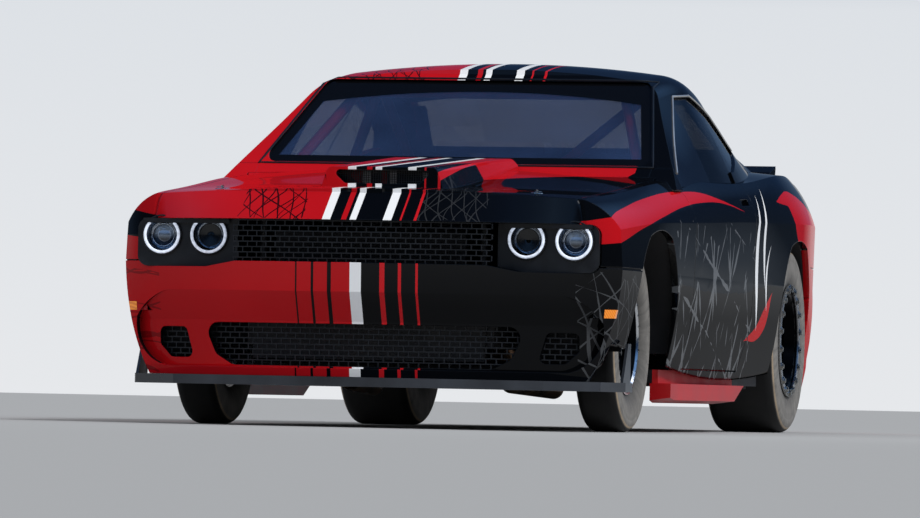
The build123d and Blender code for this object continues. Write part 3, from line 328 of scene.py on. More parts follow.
# Rows: end, station, axle height, middle x, radius of the dark centre, radius of the hub, depth of the disc
# behind the middle, and bolt rings as (count, radius, x off the middle, head, height)
wheels = [
    ("front", 0.0, 0.3555, 0.772, 0.190, 0.088, 0.045,
     [(28, 0.2030, 0.0590, 0.0042, 0.012), (5, 0.056, 0.020, 0.011, 0.034)]),
    ("rear", WHEELBASE, 0.381, 0.774, 0.2045, 0.150, 0.155,
     [(18, 0.2160, 0.1500, 0.0110, 0.016), (5, 0.060, 0.040, 0.013, 0.050)])]
for end, station, axle_z, middle, centre_r, hub_r, disc_depth, rings in wheels:
    alloy, add, shader, spot = opened("polished_lip_" + end)
    radius = from_axle(station, axle_z)[1]
    depth = add("Math", [add("SeparateXYZ", [spot])], "ABSOLUTE")
    # The centre is dark anodised up to the lip; the disc behind it is ground bare steel
    inner = add("MapRange", [radius, centre_r, centre_r + 0.002, 1.0, 0.0])
    cap = add("MapRange", [radius, hub_r, hub_r + 0.002])
    centre = add("Math", [inner, cap], "MULTIPLY")
    disc = add("Math", [depth, middle - disc_depth], "LESS_THAN")
    scuffs = add("TexNoise", {"Vector": spot, "Scale": 60.0, "Detail": 5.0})
    lip = add("Mix", {0: scuffs, 6: "b4b7bc", 7: "eceef0"})
    tone = add("Mix", {0: centre, 6: lip, 7: "0b0c0e"})
    tone = add("Mix", {0: disc, 6: tone, 7: "7c7b78"})
    # Lathe rings a millimetre apart, drawn at 3 mm so that they show
    lathe = add("Math", [radius, 2 * math.pi / 0.003], "MULTIPLY")
    lathe = add("Math", [lathe], "SINE")
    cut = add("Bump", {"Height": lathe, "Strength": 0.12, "Distance": 0.0002})
    gloss = add("MapRange", [scuffs, 0.3, 0.7, 0.10, 0.22])
    dull = add("Math", [centre, 0.16, gloss], "MULTIPLY_ADD")
    feed(shader, {"Base Color": tone, "Roughness": dull, "Normal": cut, "Metallic": 1.0})
    dress(alloy, "rim_%s_left" % end, "rim_%s_right" % end)
    for hand, side in SIDES:
        for count, ring_r, off, head_r, tall in rings:
            mesh = grown("bolts", ring_tree, {
                "Count": count, "Radius": ring_r, "Head": head_r, "Height": tall,
                "Centre": (side * (middle + off), FRONT_AXLE_Y + station, axle_z),
                "Turn": (0, math.radians(90), 0), "Material": bolt_steel})
            fit("wheel_bolts_%s_%s_%d" % (end, hand, count), mesh, "wheel_%s_%s" % (end, hand))

# Tyres
# Cured rubber: skinny front runners and wide soft slicks. The tread is scrubbed near black; the side
# walls are bleached by track dust, with radial wrinkles and moulding rings that catch it.
for end, station, axle_z, *_ in wheels:
    mat, add, shader, spot = opened("cured_rubber_" + end)
    place, radius = from_axle(station, axle_z)
    axes = add("SeparateXYZ", [place])
    wall = add("MapRange", [radius, axle_z - 0.022, axle_z - 0.010, 1.0, 0.0])
    angle = add("Math", [axes.outputs[1], axes.outputs[2]], "ARCTAN2")
    polar = add("CombineXYZ", [angle, radius])
    # Wrinkles run out from the bead, about 30 mm apart, and lean with the torque
    lean = add("VectorMath", [polar, (12.0, 5.0, 0.0)], "MULTIPLY")
    wrinkles = add("TexNoise", {"Vector": lean, "Scale": 1.3, "Detail": 4.0, "Distortion": 0.6})
    rings_at = add("Math", [radius, 2 * math.pi / 0.021], "MULTIPLY")
    rings_at = add("Math", [rings_at], "SINE")
    dust = add("TexNoise", {"Vector": spot, "Scale": 14.0, "Detail": 8.0, "Roughness": 0.7})
    dusty = add("Math", [wrinkles, dust], "MULTIPLY")
    dusty = add("MapRange", [dusty, 0.14, 0.34])
    side_tone = add("Mix", {0: dusty, 6: "6c6a67", 7: "85827e"})
    bead_shade = add("MapRange", [radius, 0.215, 0.290, 0.75, 0.0])
    side_tone = add("Mix", {0: bead_shade, 6: side_tone, 7: "2c2b2a"})
    scrub = add("TexNoise", {"Vector": spot, "Scale": 9.0, "Detail": 6.0})
    tread_tone = add("Mix", {0: scrub, 6: "0c0c0d", 7: "201f1f"})
    tone = add("Mix", {0: wall, 6: tread_tone, 7: side_tone})
    # A thin tan line of dust lies along the shoulder
    edge = add("Math", [radius, axle_z - 0.018, 0.0035], "COMPARE")
    edge = add("Math", [edge, dust], "MULTIPLY")
    tone = add("Mix", {0: edge, 6: tone, 7: "c0a98c"})
    relief = add("Math", [rings_at, 0.25, wrinkles], "MULTIPLY_ADD")
    pressed = add("Bump", {"Height": relief, "Strength": 0.14, "Distance": 0.002})
    feed(shader, {"Base Color": tone, "Normal": pressed, "Roughness": 0.72, "Specular IOR Level": 0.35})
    dress(mat, "tyre_%s_left" % end, "tyre_%s_right" % end)

# Body panels
# Steel and composite panels under sprayed lacquer and clear coat: black on the car's left, red on its
# right, with stripes, a long sweep on each flank and broken scratch lines, all in the swapped colour.
RED, BLACK, WHITE = "b41118", "050608", "eef1f6"
lacquer, add, shader, spot = opened("sprayed_two_colour_lacquer")
axes = add("SeparateXYZ", [spot])
x, y, z = axes.outputs
out = add("Math", [x], "ABSOLUTE")
station = add("Math", [y, FRONT_AXLE_Y], "SUBTRACT")
left = add("Math", [x, 0.0], "GREATER_THAN")

# Edges of the flank's figures: each is one place, as it changes with another, through (at, value) points
# Rows: what the edge runs along, first, last, lowest, highest, points
edges = {
    "sweep_top": (station, -1.0, 1.8, 0.6, 1.0, [
        (-1.0, 0.695), (-0.957, 0.70), (-0.691, 0.797), (-0.368, 0.844), (-0.003, 0.883), (0.429, 0.918),
        (0.631, 0.926), (0.971, 0.933), (1.254, 0.918), (1.493, 0.899), (1.662, 0.884), (1.8, 0.87)]),
    "sweep_foot": (station, -1.0, 1.8, 0.6, 1.0, [
        (-1.0, 0.655), (-0.957, 0.661), (-0.689, 0.699), (-0.328, 0.763), (0.124, 0.822), (0.632, 0.875),
        (0.956, 0.895), (1.213, 0.902), (1.449, 0.896), (1.66, 0.882), (1.8, 0.875)]),
    "quarter_front": (z, 0.1, 1.0, 2.4, 3.3, [
        (0.1, 3.13), (0.5, 3.10), (0.623, 3.084), (0.736, 2.958), (0.839, 2.817), (0.90, 2.765),
        (0.932, 2.74), (0.943, 2.50), (0.97, 2.62), (1.0, 2.9)]),
    "quarter_top": (station, 2.4, 4.2, 0.8, 1.0, [
        (2.4, 0.93), (2.498, 0.945), (2.75, 0.984), (2.879, 0.996), (3.069, 0.984), (3.255, 0.96),
        (3.505, 0.926), (4.2, 0.90)]),
    "corner_top": (station, 1.8, 2.4, 0.3, 0.6, [
        (1.8, 0.352), (1.853, 0.369), (2.059, 0.424), (2.183, 0.492), (2.319, 0.561), (2.4, 0.59)]),
    "corner_foot": (station, 1.8, 2.4, 0.3, 0.6, [
        (1.8, 0.36), (1.853, 0.367), (2.107, 0.373), (2.239, 0.417), (2.287, 0.466), (2.33, 0.56),
        (2.4, 0.595)])}


def followed(share, lowest, highest, points):
    """A value from lowest to highest that follows (share, value) points as the share goes from 0 to 1."""
    bend = add("FloatCurve", {"Value": share})
    curve = bend.mapping.curves[0]
    for at, value in points[1:-1]:
        curve.points.new(at, (value - lowest) / (highest - lowest))
    for end in (0, -1):
        curve.points[end].location = (points[end][0], (points[end][1] - lowest) / (highest - lowest))
    bend.mapping.update()
    return add("MapRange", [bend, 0, 1, lowest, highest])


edge_at = {}
for name, (along, first, last, lowest, highest, points) in edges.items():
    share = add("MapRange", [along, first, last])
    shares = [((at - first) / (last - first), value) for at, value in points]
    edge_at[name] = followed(share, lowest, highest, shares)
figures = []
for tests in [
        [(z, "GREATER_THAN", edge_at["sweep_foot"]), (z, "LESS_THAN", edge_at["sweep_top"]),
         (out, "GREATER_THAN", 0.80), (station, "LESS_THAN", 1.70)],
        [(station, "GREATER_THAN", edge_at["quarter_front"]), (z, "LESS_THAN", edge_at["quarter_top"])],
        [(z, "GREATER_THAN", edge_at["corner_foot"]), (z, "LESS_THAN", edge_at["corner_top"]),
         (out, "GREATER_THAN", 0.80), (station, "GREATER_THAN", 1.80), (station, "LESS_THAN", 2.36)]]:
    kept = None
    for value, test, limit in tests:
        passed = add("Math", [value, limit], test)
        kept = passed if kept is None else add("Math", [kept, passed], "MULTIPLY")
    figures.append(kept)
figure = add("Math", [add("Math", figures[:2], "MAXIMUM"), figures[2]], "MAXIMUM")
dark = add("Math", [left, figure], "SUBTRACT")
dark = add("Math", [dark], "ABSOLUTE")
cloud = add("TexNoise", {"Vector": spot, "Scale": 1.7, "Detail": 2.0})
red_tone = add("Mix", {0: cloud, 6: "ab0e15", 7: "c0151d"})
black_tone = add("Mix", {0: cloud, 6: "040507", 7: "08090c"})
tone = add("Mix", {0: dark, 6: red_tone, 7: black_tone})

# Scratch lines: (way across the lines, spacing, half width, warp) in metres
swirl = add("TexNoise", {"Vector": spot, "Scale": 2.3, "Detail": 1.0})
breaks = add("TexNoise", {"Vector": spot, "Scale": 5.5, "Detail": 2.0})
webs = {}
for place, lines in {
        "hood": [((1.0, 0.22, 0.30), 0.050, 0.0021, 0.16), ((1.0, -0.26, -0.34), 0.062, 0.0024, 0.20),
                 ((1.0, 0.75, 0.95), 0.120, 0.0030, 0.12), ((1.0, -0.05, -0.02), 0.085, 0.0016, 0.25)],
        "flank": [((0, 0.80, 0.60), 0.270, 0.0075, 0.05), ((0, 0.72, -0.69), 0.240, 0.0065, 0.06),
                  ((0, 0.97, 0.22), 0.330, 0.0085, 0.04), ((0, 0.25, 0.97), 0.260, 0.0060, 0.05),
                  ((0, 0.95, -0.32), 0.310, 0.0080, 0.05)],
        "nose": [((0.5, 0.70, 0.60), 0.110, 0.0022, 0.10), ((0.5, 0.62, -0.69), 0.095, 0.0020, 0.12),
                 ((0.3, 0.97, 0.22), 0.140, 0.0026, 0.08),
                 ((0.3, 0.25, 0.97), 0.120, 0.0018, 0.10)]}.items():
    web = None
    for way, spacing, half, warp in lines:
        run = add("VectorMath", [spot, way], "DOT_PRODUCT")
        run = add("Math", [swirl, warp, run], "MULTIPLY_ADD")
        run = add("Math", [run, spacing / 2], "PINGPONG")
        gain, loss = {"hood": (3.0, -0.4), "flank": (9.0, -3.9), "nose": (6.0, -1.9)}[place]
        width = add("Math", [breaks, gain * half, loss * half], "MULTIPLY_ADD")
        struck = add("Math", [run, width], "LESS_THAN")
        web = struck if web is None else add("Math", [web, struck], "MAXIMUM")
    webs[place] = web
# Rows: web, strength on red, strength on black, raggedness of the border, (coordinate, from, to) limits
fields = [
    ("hood", 0.94, 0.10, 0.05, [(out, 0.215, 0.46), (z, 0.762, 1.06), (station, -1.1, -0.36)]),
    ("hood", 0.90, 0.0, 0.05, [(out, 0.27, 0.60), (z, 1.36, 1.60), (station, 1.2, 1.62)]),
    ("flank", 0.75, 0.46, 0.55, [(out, 0.845, 1.2), (z, 0.10, 0.80), (station, 0.30, 2.00)]),
    ("nose", 0.50, 0.22, 0.15, [(out, 0.79, 1.2), (z, 0.19, 0.58), (station, -1.2, -0.35)])]
scratched = None
for web, on_red, on_black, rag, limits in fields:
    kept = webs[web]
    for value, first, last in limits:
        middle, reach = (first + last) / 2, (last - first) / 2
        if value is not out or web == "hood":
            value = add("Math", [breaks, rag, value], "MULTIPLY_ADD")
            middle += rag / 2
        inside = add("Math", [value, middle, reach], "COMPARE")
        kept = add("Math", [kept, inside], "MULTIPLY")
    depth = add("MapRange", [dark, 0, 1, on_red, on_black])
    kept = add("Math", [kept, depth], "MULTIPLY")
    scratched = kept if scratched is None else add("Math", [scratched, kept], "MAXIMUM")
line_tone = add("Mix", {0: dark, 6: "12060a", 7: "84888e"})
tone = add("Mix", {0: scratched, 6: tone, 7: line_tone})

# The sweep over the hood: red behind a line from the scoop's left foot back to the cowl
run = add("Math", [x, 1.22, -0.245], "MULTIPLY_ADD")
behind = add("Math", [station, run], "GREATER_THAN")
for value, first, last in [(x, 0.132, 0.72), (z, 0.90, 1.075), (station, -0.3, 0.72)]:
    inside = add("Math", [value, (first + last) / 2, (last - first) / 2], "COMPARE")
    behind = add("Math", [behind, inside], "MULTIPLY")
tone = add("Mix", {0: behind, 6: tone, 7: "b3131b"})

# Stripes along the car: (centre x, half width, colour) above the bumper's seam, then below it
SEAM_Z, THIN_RED = 0.615, "c01a22"
upper = add("Math", [z, SEAM_Z], "GREATER_THAN")
lower = add("Math", [z, SEAM_Z], "LESS_THAN")
ahead = add("Math", [station, 2.0], "LESS_THAN")
lower = add("Math", [lower, ahead], "MULTIPLY")
for zone, stripes in [
        (upper, [(0.0, 0.131, BLACK), (-0.115, 0.016, WHITE), (-0.013, 0.0125, WHITE), (0.115, 0.016, WHITE),
                 (-0.048, 0.010, RED), (0.165, 0.0035, THIN_RED), (0.218, 0.005, THIN_RED)]),
        (lower, [(0.0, 0.0215, WHITE), (-0.10, 0.0075, BLACK), (-0.165, 0.005, BLACK),
                 (-0.228, 0.003, BLACK), (0.10, 0.0095, THIN_RED), (0.165, 0.006, THIN_RED),
                 (0.228, 0.0045, THIN_RED)])]:
    for centre, half, code in stripes:
        on = add("Math", [x, centre, half], "COMPARE")
        on = add("Math", [on, zone], "MULTIPLY")
        tone = add("Mix", {0: on, 6: tone, 7: code})

# Pale brush strokes over the rear wheel opening: (first z, last z, half width, stations up the stroke)
for first, last, half, stations in [
        (0.41, 0.96, 0.030, [2.075, 2.010, 1.975, 1.985, 2.075]),
        (0.58, 0.99, 0.022, [2.175, 2.135, 2.120, 2.150, 2.265]),
        (0.49, 0.76, 0.015, [2.245, 2.210, 2.195, 2.210, 2.265])]:
    share = add("MapRange", [z, first, last])
    centre = followed(share, 1.9, 2.4, [
        (step / (len(stations) - 1), value) for step, value in enumerate(stations)])
    swell = add("Math", [share, math.pi], "MULTIPLY")
    swell = add("Math", [swell], "SINE")
    swell = add("Math", [swell, half], "MULTIPLY")
    stroke = add("Math", [station, centre, swell], "COMPARE")
    flank = add("Math", [out, 0.84], "GREATER_THAN")
    stroke = add("Math", [stroke, flank], "MULTIPLY")
    low_end = add("Math", [z, first], "GREATER_THAN")
    stroke = add("Math", [stroke, low_end], "MULTIPLY")
    tone = add("Mix", {0: stroke, 6: tone, 7: WHITE})

# Inner faces, under the hood and lids and inside the doors, carry only black primer
facing = add("SeparateXYZ", [add("TexCoord").outputs["Normal"]])
sign = add("Math", [x], "SIGN")
outward = add("Math", [facing, sign], "MULTIPLY")
inner = add("Math", [outward, -0.35], "LESS_THAN")
below = add("Math", [facing.outputs[2], -0.35], "LESS_THAN")
raised = add("Math", [z, 0.76], "GREATER_THAN")
below = add("Math", [below, raised], "MULTIPLY")
inner = add("Math", [inner, below], "MAXIMUM")
tone = add("Mix", {0: inner, 6: tone, 7: "0f1013"})

# Clear coat has a faint orange peel, 5 mm across; panel edges are rounded so that they catch light
peel = add("TexNoise", {"Vector": spot, "Scale": 200.0, "Detail": 1.0})
rounded = add("Bevel", {"Radius": 0.004}, samples=4)
skin = add("Bump", {"Height": peel, "Strength": 0.05, "Distance": 0.0002, "Normal": rounded})
feed(shader, {
    "Base Color": tone, "Normal": skin, "Coat Normal": skin, "Roughness": 0.35, "Specular IOR Level": 0.0})
# The lower body is duller with road film, so it mirrors less of the floor and stays dark
film = add("MapRange", [z, 0.45, 0.72, 0.2, 0.46])
feed(shader, {"Coat Weight": film, "Coat IOR": 1.62, "Coat Roughness": 0.02})
dress(lacquer, "body_shell", "fender_left", "fender_right", "door_left", "door_right", "hood",
      "header_panel", "front_bumper", "rear_fascia", "deck_lid")

# Grilles and lamp panels
# Moulded plastic mesh of staggered slots, satin black, with a finer wire screen inside the hood scoop.
grille_plastic = finish("moulded_grille_plastic", "1a1c1f", "0b0c0e", 0.08, 0.002, 0.0002, (0.32, 0.5))
dress(grille_plastic, "grilles")
brick_tree, add, given = group("staggered_mesh", [
    ("Columns", "Int"), ("Rows", "Int"), ("Pitch X", "Float"), ("Pitch Z", "Float"), ("Bar", "Float"),
    ("Depth", "Float"), ("Centre", "Vector"), ("Bow", "Float"), ("Material", "Material")])
span_x = add("Math", [given["Columns"], given["Pitch X"]], "MULTIPLY")
width = add("Math", [given["Pitch X"], 0.5, span_x], "MULTIPLY_ADD")
span_z = add("Math", [given["Rows"], given["Pitch Z"]], "MULTIPLY")
lift_z = add("Math", [span_z, given["Pitch Z"]], "SUBTRACT")
count_x = add("Math", [given["Columns"], 1.0], "ADD")
grid = add("MeshGrid", {
    "Size X": span_x, "Size Y": lift_z, "Vertices X": count_x, "Vertices Y": given["Rows"]})
# Every other row of uprights stands half a slot over
row_of = add("Math", [add("InputIndex"), given["Rows"]], "MODULO")
odd = add("Math", [row_of, 2.0], "MODULO")
shift = add("Math", [odd, 0.25], "SUBTRACT")
shift = add("Math", [shift, 0.5], "MULTIPLY")
shift = add("Math", [shift, given["Pitch X"]], "MULTIPLY")
flat = add("SeparateXYZ", [add("InputPosition")])
place_x = add("Math", [flat, shift], "ADD")
stood = add("CombineXYZ", {0: place_x, 2: flat.outputs[1]})
spots = add("SetPosition", {"Geometry": grid, "Position": stood})
upright = add("CombineXYZ", [given["Bar"], given["Depth"], given["Pitch Z"]])
uprights = add("InstanceOnPoints", {"Points": spots, "Instance": add("MeshCube", {"Size": upright})})
half_drop = add("Math", [span_z, -0.5], "MULTIPLY")
row_count = add("Math", [given["Rows"], 1.0], "ADD")
foot = add("CombineXYZ", {2: half_drop})
climb = add("CombineXYZ", {2: given["Pitch Z"]})
levels = add("MeshLine", {"Count": row_count, "Start Location": foot, "Offset": climb}, mode="OFFSET")
slat = add("CombineXYZ", [width, given["Depth"], given["Bar"]])
slats = add("InstanceOnPoints", {
    "Points": levels, "Instance": add("MeshCube", {"Size": slat, "Vertices X": 49})})
whole = add("JoinGeometry", [uprights])
feed(whole, [slats])
solid = add("RealizeInstances", {"Geometry": whole})
at_x = add("SeparateXYZ", [add("InputPosition")])
bowed = add("Math", [at_x, at_x], "MULTIPLY")
bowed = add("Math", [bowed, given["Bow"]], "MULTIPLY")
bowed = add("SetPosition", {"Geometry": solid, "Offset": add("CombineXYZ", {1: bowed})})
moved = add("Transform", {"Geometry": bowed, "Translation": given["Centre"]})
painted = add("SetMaterial", {"Geometry": moved, "Material": given["Material"]})
add("NodeGroupOutput", {"Geometry": painted})


def mesh_of(name, work):
    """The mesh of a finished bmesh."""
    mesh = bpy.data.meshes.new(name)
    work.to_mesh(mesh)
    work.free()
    return mesh


LAMP_INNER_X, LAMP_BROW = 0.4915, 0.045
lamp_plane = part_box("headlamps")[0].y + 0.012
work = bmesh.new()
work.from_mesh(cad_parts["grilles"].data)
bmesh.ops.remove_doubles(work, verts=work.verts, dist=0.00001)
cast_points = [v.co.copy() for v in work.verts]
bmesh.ops.delete(work, geom=[v for v in work.verts if abs(v.co.x) < LAMP_INNER_X or v.co.z < 0.58],
                 context="VERTS")
for half, low_z, high_z, columns, rows in [(0.488, 0.600, 0.758, 26, 8), (0.796, 0.222, 0.384, 42, 8)]:
    fronts = {}
    for name, first, last in [("middle", 0.0, 0.05), ("end", half - 0.03, half)]:
        fronts[name] = min(p.y for p in cast_points if first <= abs(p.x) <= last and low_z <= p.z <= high_z)
    pitch_x = 2 * half / (columns + 0.5)
    insert = grown("mesh_insert", brick_tree, {
        "Columns": columns, "Rows": rows, "Pitch X": pitch_x, "Pitch Z": (high_z - low_z) / rows,
        "Bar": 0.0042, "Depth": 0.008, "Centre": (0, fronts["middle"] + 0.005, (low_z + high_z) / 2),
        "Bow": (fronts["end"] - fronts["middle"]) / half ** 2, "Material": grille_plastic})
    work.from_mesh(insert)
# Brows shade the tops of the lamps
for side in (-1, 1):
    brow = bmesh.new()
    bmesh.ops.create_cube(brow, size=1.0)
    bmesh.ops.scale(brow, vec=(0.33, 0.006, 0.017), verts=brow.verts)
    bmesh.ops.bevel(brow, geom=list(brow.edges), offset=0.002, segments=2, affect="EDGES")
    bmesh.ops.translate(brow, vec=(side * 0.687, lamp_plane - 0.018, 0.7535), verts=brow.verts)
    work.from_mesh(mesh_of("lamp_brow", brow))
fit("grille_inserts", mesh_of("grille_inserts", work), "car", grille_plastic,
    stands_for=("grilles",))
# Folded ducts close off the air behind the side inlets
for hand, side in SIDES:
    work = bmesh.new()
    back_y = fronts["end"] + 0.03
    ribs = [[work.verts.new((side * x, back_y + 0.05 * (1 - t) ** 2, 0.21 + 0.19 * t))
             for x in (0.62, 0.70, 0.80, 0.84)] for t in (0, 0.25, 0.5, 0.75, 1)]
    for one, two in zip(ribs, ribs[1:]):
        for k in range(3):
            work.faces.new((one[k], one[k + 1], two[k + 1], two[k]))
    for face in work.faces:
        if face.normal.y > 0:
            face.normal_flip()
    fit("inlet_duct_" + hand, mesh_of("inlet_duct", work), "car", liner)
scoop_y, WIRE = FRONT_AXLE_Y - 0.555, 0.0016
for name, count, start, step, size in [
        ("scoop_screen_uprights", 41, (-0.18, scoop_y + 0.05, 0.934), (0.009, 0, 0), (WIRE, WIRE, 0.052)),
        ("scoop_screen_bars", 8, (0, scoop_y + 0.0515, 0.912), (0, 0, 0.0065), (0.37, WIRE, WIRE))]:
    mesh = grown(name, fin_tree, {
        "Count": count, "Start": start, "Step": step, "Size": size, "Material": grille_plastic})
    fit(name, mesh, "hood")

# Headlamps
# Four round lamps: a dark bowl in a black bezel, a bright light ring round it, and a glass projector
# lens in each outer lamp. The inner ones feed air and are hollow.
LAMPS = {"outer": (0.782, 0.700), "inner": (0.603, 0.703)}
BEZEL_R, HOLLOW_R = 0.0690, 0.0425
between_lamps = (LAMPS["outer"][0] + LAMPS["inner"][0]) / 2
bowl = finish("vapour_plated_bowl", "8d939b", "2a2d31", 0.03, 0.004, 0.0002, (0.12, 0.25), metal=1.0)
bowl, add, shader, spot = opened(bowl)
ways = add("SeparateXYZ", [spot])
out = add("Math", [ways], "ABSOLUTE")
level = ways.outputs[2]
outer_lamp = add("Math", [out, between_lamps], "GREATER_THAN")
centre_x = add("MapRange", [outer_lamp, 0, 1, LAMPS["inner"][0], LAMPS["outer"][0]])
centre_z = add("MapRange", [outer_lamp, 0, 1, LAMPS["inner"][1], LAMPS["outer"][1]])
across = add("Math", [out, centre_x], "SUBTRACT")
rise = add("Math", [level, centre_z], "SUBTRACT")
offset = add("CombineXYZ", [across, rise])
radius = add("VectorMath", [offset], "LENGTH")
bezel = add("Math", [radius, BEZEL_R], "GREATER_THAN")
hollow = add("Math", [radius, HOLLOW_R], "LESS_THAN")
browed = add("Math", [rise, LAMP_BROW - 0.001], "GREATER_THAN")
black_part = add("Math", [bezel, hollow], "MAXIMUM")
black_part = add("Math", [black_part, browed], "MAXIMUM")
plated = add("Math", [1.0, black_part], "SUBTRACT")
facets = add("TexVoronoi", {"Vector": spot, "Scale": 120.0})
tone = add("Mix", {0: facets, 6: "b9c2cd", 7: "4a5058"})
tone = add("Mix", {0: black_part, 6: tone, 7: "060709"})
feed(shader, {"Base Color": tone, "Metallic": plated})
dress(bowl, "headlamps")

bead_tree, add, given = group("bead_along_edges", [
    ("Radius", "Float"), ("Sides", "Int"), ("Material", "Material")])
path = add("MeshToCurve", {"Mesh": given["Geometry"]})
profile = add("CurvePrimitiveCircle", {"Resolution": given["Sides"], "Radius": given["Radius"]})
swept = add("CurveToMesh", {"Curve": path, "Profile Curve": profile, "Fill Caps": True})
smooth = add("SetShadeSmooth", {"Geometry": swept})
solid = add("RealizeInstances", {"Geometry": smooth})
painted = add("SetMaterial", {"Geometry": solid, "Material": given["Material"]})
add("NodeGroupOutput", {"Geometry": painted})


def bead(name, points, radius, mat, closed=False, sides=10):
    """Mesh of a round bead laid through points."""
    base = bpy.data.meshes.new(name + "_line")
    links = [(i, i + 1) for i in range(len(points) - 1)] + ([(len(points) - 1, 0)] if closed else [])
    base.from_pydata([tuple(p) for p in points], links, [])
    return grown(name, bead_tree, {"Radius": radius, "Sides": sides, "Material": mat}, base)


# Frosted acrylic light pipe: white with a faint blue, brightest as it glows
light_pipe, add, shader, spot = opened("frosted_acrylic_light_pipe")
frost = add("TexNoise", {"Vector": spot, "Scale": 90.0, "Detail": 2.0})
glow = add("MapRange", [frost, 0.3, 0.7, 0.22, 0.55])
feed(shader, {
    "Base Color": "e6edf8", "Roughness": 0.25, "Emission Color": "dbe7ff", "Emission Strength": glow})
bright_trim = finish("chromed_lens_trim", "e8ecf2", "aab4c2", 0.02, 0.001, 0.0001, (0.08, 0.16), metal=1.0)
# Polished glass projector lens: a smoky blue depth under a hard bright painted highlight, the base colour
# turning pale towards the top
projector, add, shader, spot = opened("polished_projector_glass")
rise = add("SeparateXYZ", [spot]).outputs[2]
rise = add("MapRange", [rise, 0.685, 0.725])
tone = add("Mix", {0: rise, 6: "1c232d", 7: "a9bdd6"})
feed(shader, {"Base Color": tone, "Roughness": 0.03, "Metallic": 0.35, "Coat Weight": 1.0})


def turned(work, centre, profile):
    """Skin of (radius, along the car) rows turned round a centre; a row of radius 0 is a pole."""
    rows = []
    for radius, along in profile:
        angles = [2 * math.pi * k / 40 for k in range(40)] if radius else [0]
        rows.append([work.verts.new(centre + Vector((radius * math.cos(a), along, radius * math.sin(a))))
                     for a in angles])
    for one, two in zip(rows, rows[1:]):
        for k in range(40):
            n = (k + 1) % 40
            corners = (one[k % len(one)], two[k % len(two)], two[n % len(two)], one[n % len(one)])
            work.faces.new(list(dict.fromkeys(corners)))
    return rows


RING_R, RING_TUBE, LENS_R = 0.0640, 0.0056, 0.040
gap = math.asin(LAMP_BROW / RING_R)
for hand, side in reversed(SIDES):
    for spot_name, (cx, cz) in LAMPS.items():
        # The light ring is open under the brow; black and bright trims run round it and the lens
        turns = [math.pi - gap + (math.pi + 2 * gap) * i / 56 for i in range(57)]
        full = [2 * math.pi * i / 56 for i in range(56)]
        chrome = bright_trim if spot_name == "outer" else grille_plastic
        for name, radius, off, tube, mat, angles, closed in [
                ("light_ring", RING_R, -0.012, RING_TUBE, light_pipe, turns, False),
                ("lamp_bezel", RING_R + 0.0085, -0.010, 0.0030, grille_plastic, full, True),
                ("lens_trim", 0.0415, 0.012, 0.0015, chrome, full, True)]:
            ring = [(side * cx + radius * math.cos(a), lamp_plane + off, cz + radius * math.sin(a))
                    for a in angles]
            fit("%s_%s_%s" % (name, spot_name, hand), bead(name, ring, tube, mat, closed=closed), "car")
        work = bmesh.new()
        bulge = 0.020 if spot_name == "outer" else -0.006
        dome = [(LENS_R * i / 7, 0.024 - bulge * (1 - (i / 7) ** 2)) for i in range(8)]
        turned(work, Vector((side * cx, lamp_plane, cz)), dome)
        for face in work.faces:
            face.smooth = True
            if face.normal.y > 0:
                face.normal_flip()
        mesh = mesh_of("projector_lens", work)
        lens_mat = projector if spot_name == "outer" else grille_plastic
        fit("projector_%s_%s" % (spot_name, hand), mesh, "car", lens_mat)

# Side markers and tail lamps
# Moulded acrylic lenses with upright flutes on their backs: amber at the nose's corners, red behind.
for name, code, deep, glow in [("side_markers", "f0912e", "b85a10", 0.25),
                               ("tail_lamps", "a80d12", "3c0406", 0.12)]:
    lens_mat, add, shader, spot = opened("fluted_acrylic_" + name)
    flutes = add("TexWave", {"Vector": spot, "Scale": 45.0}, bands_direction="DIAGONAL")
    tone = add("Mix", {0: flutes.outputs[1], 6: deep, 7: code})
    cut = add("Bump", {"Height": flutes.outputs[1], "Strength": 0.3, "Distance": 0.001})
    if name == "side_markers":
        # Inboard of its lens, a marker's housing is sprayed in the colour of its side and doesn't glow
        ways = add("SeparateXYZ", [spot])
        inboard = add("Math", [ways], "ABSOLUTE")
        inboard = add("Math", [inboard, 0.872], "LESS_THAN")
        on_left = add("Math", [ways, 0.0], "GREATER_THAN")
        housing = add("Mix", {0: on_left, 6: RED, 7: BLACK})
        tone = add("Mix", {0: inboard, 6: tone, 7: housing})
        glow = add("Math", [inboard, -glow, glow], "MULTIPLY_ADD")
    feed(shader, {
        "Base Color": tone, "Normal": cut, "Roughness": 0.12, "Coat Weight": 0.3, "Emission Color": code,
        "Emission Strength": glow})
    dress(lens_mat, name)

# Window glass
# Laminated windshield and tempered panes with a faint blue tint; black ceramic is fired round their
# edges, and the windshield's head is a deep sun band. The windshield's blue-grey base colour, darker and
# paler in patches, is partly its tint and partly a painted reflection of the sky.
tinted, add, shader, spot = opened("tinted_laminated_glass")
axes = add("SeparateXYZ", [spot])
x, y, z = axes.outputs
out = add("Math", [x], "ABSOLUTE")
shield = add("Math", [y, -0.2], "LESS_THAN")
# The ceramic reaches in from an edge that leans with the pane, below a foot, and down from the sun band
pane_edge = add("Math", [z, -0.362, 1.1017], "MULTIPLY_ADD")
near_edge = add("Math", [out, pane_edge], "GREATER_THAN")
crown = add("Math", [out, out], "MULTIPLY")
band_foot = add("Math", [crown, -0.115, 1.324], "MULTIPLY_ADD")
in_band = add("Math", [z, band_foot], "GREATER_THAN")
foot = add("Math", [z, 1.052], "LESS_THAN")
border = add("Math", [near_edge, foot], "MAXIMUM")
border = add("Math", [border, in_band], "MAXIMUM")
border = add("Math", [border, shield], "MULTIPLY")
rear_foot = add("Math", [z, 1.165], "LESS_THAN")
rear_edge = add("Math", [z, -0.377, 1.04], "MULTIPLY_ADD")
rear_side = add("Math", [out, rear_edge], "GREATER_THAN")
rear_pane = add("Math", [y, 0.93], "GREATER_THAN")
rear_border = add("Math", [rear_foot, rear_side], "MAXIMUM")
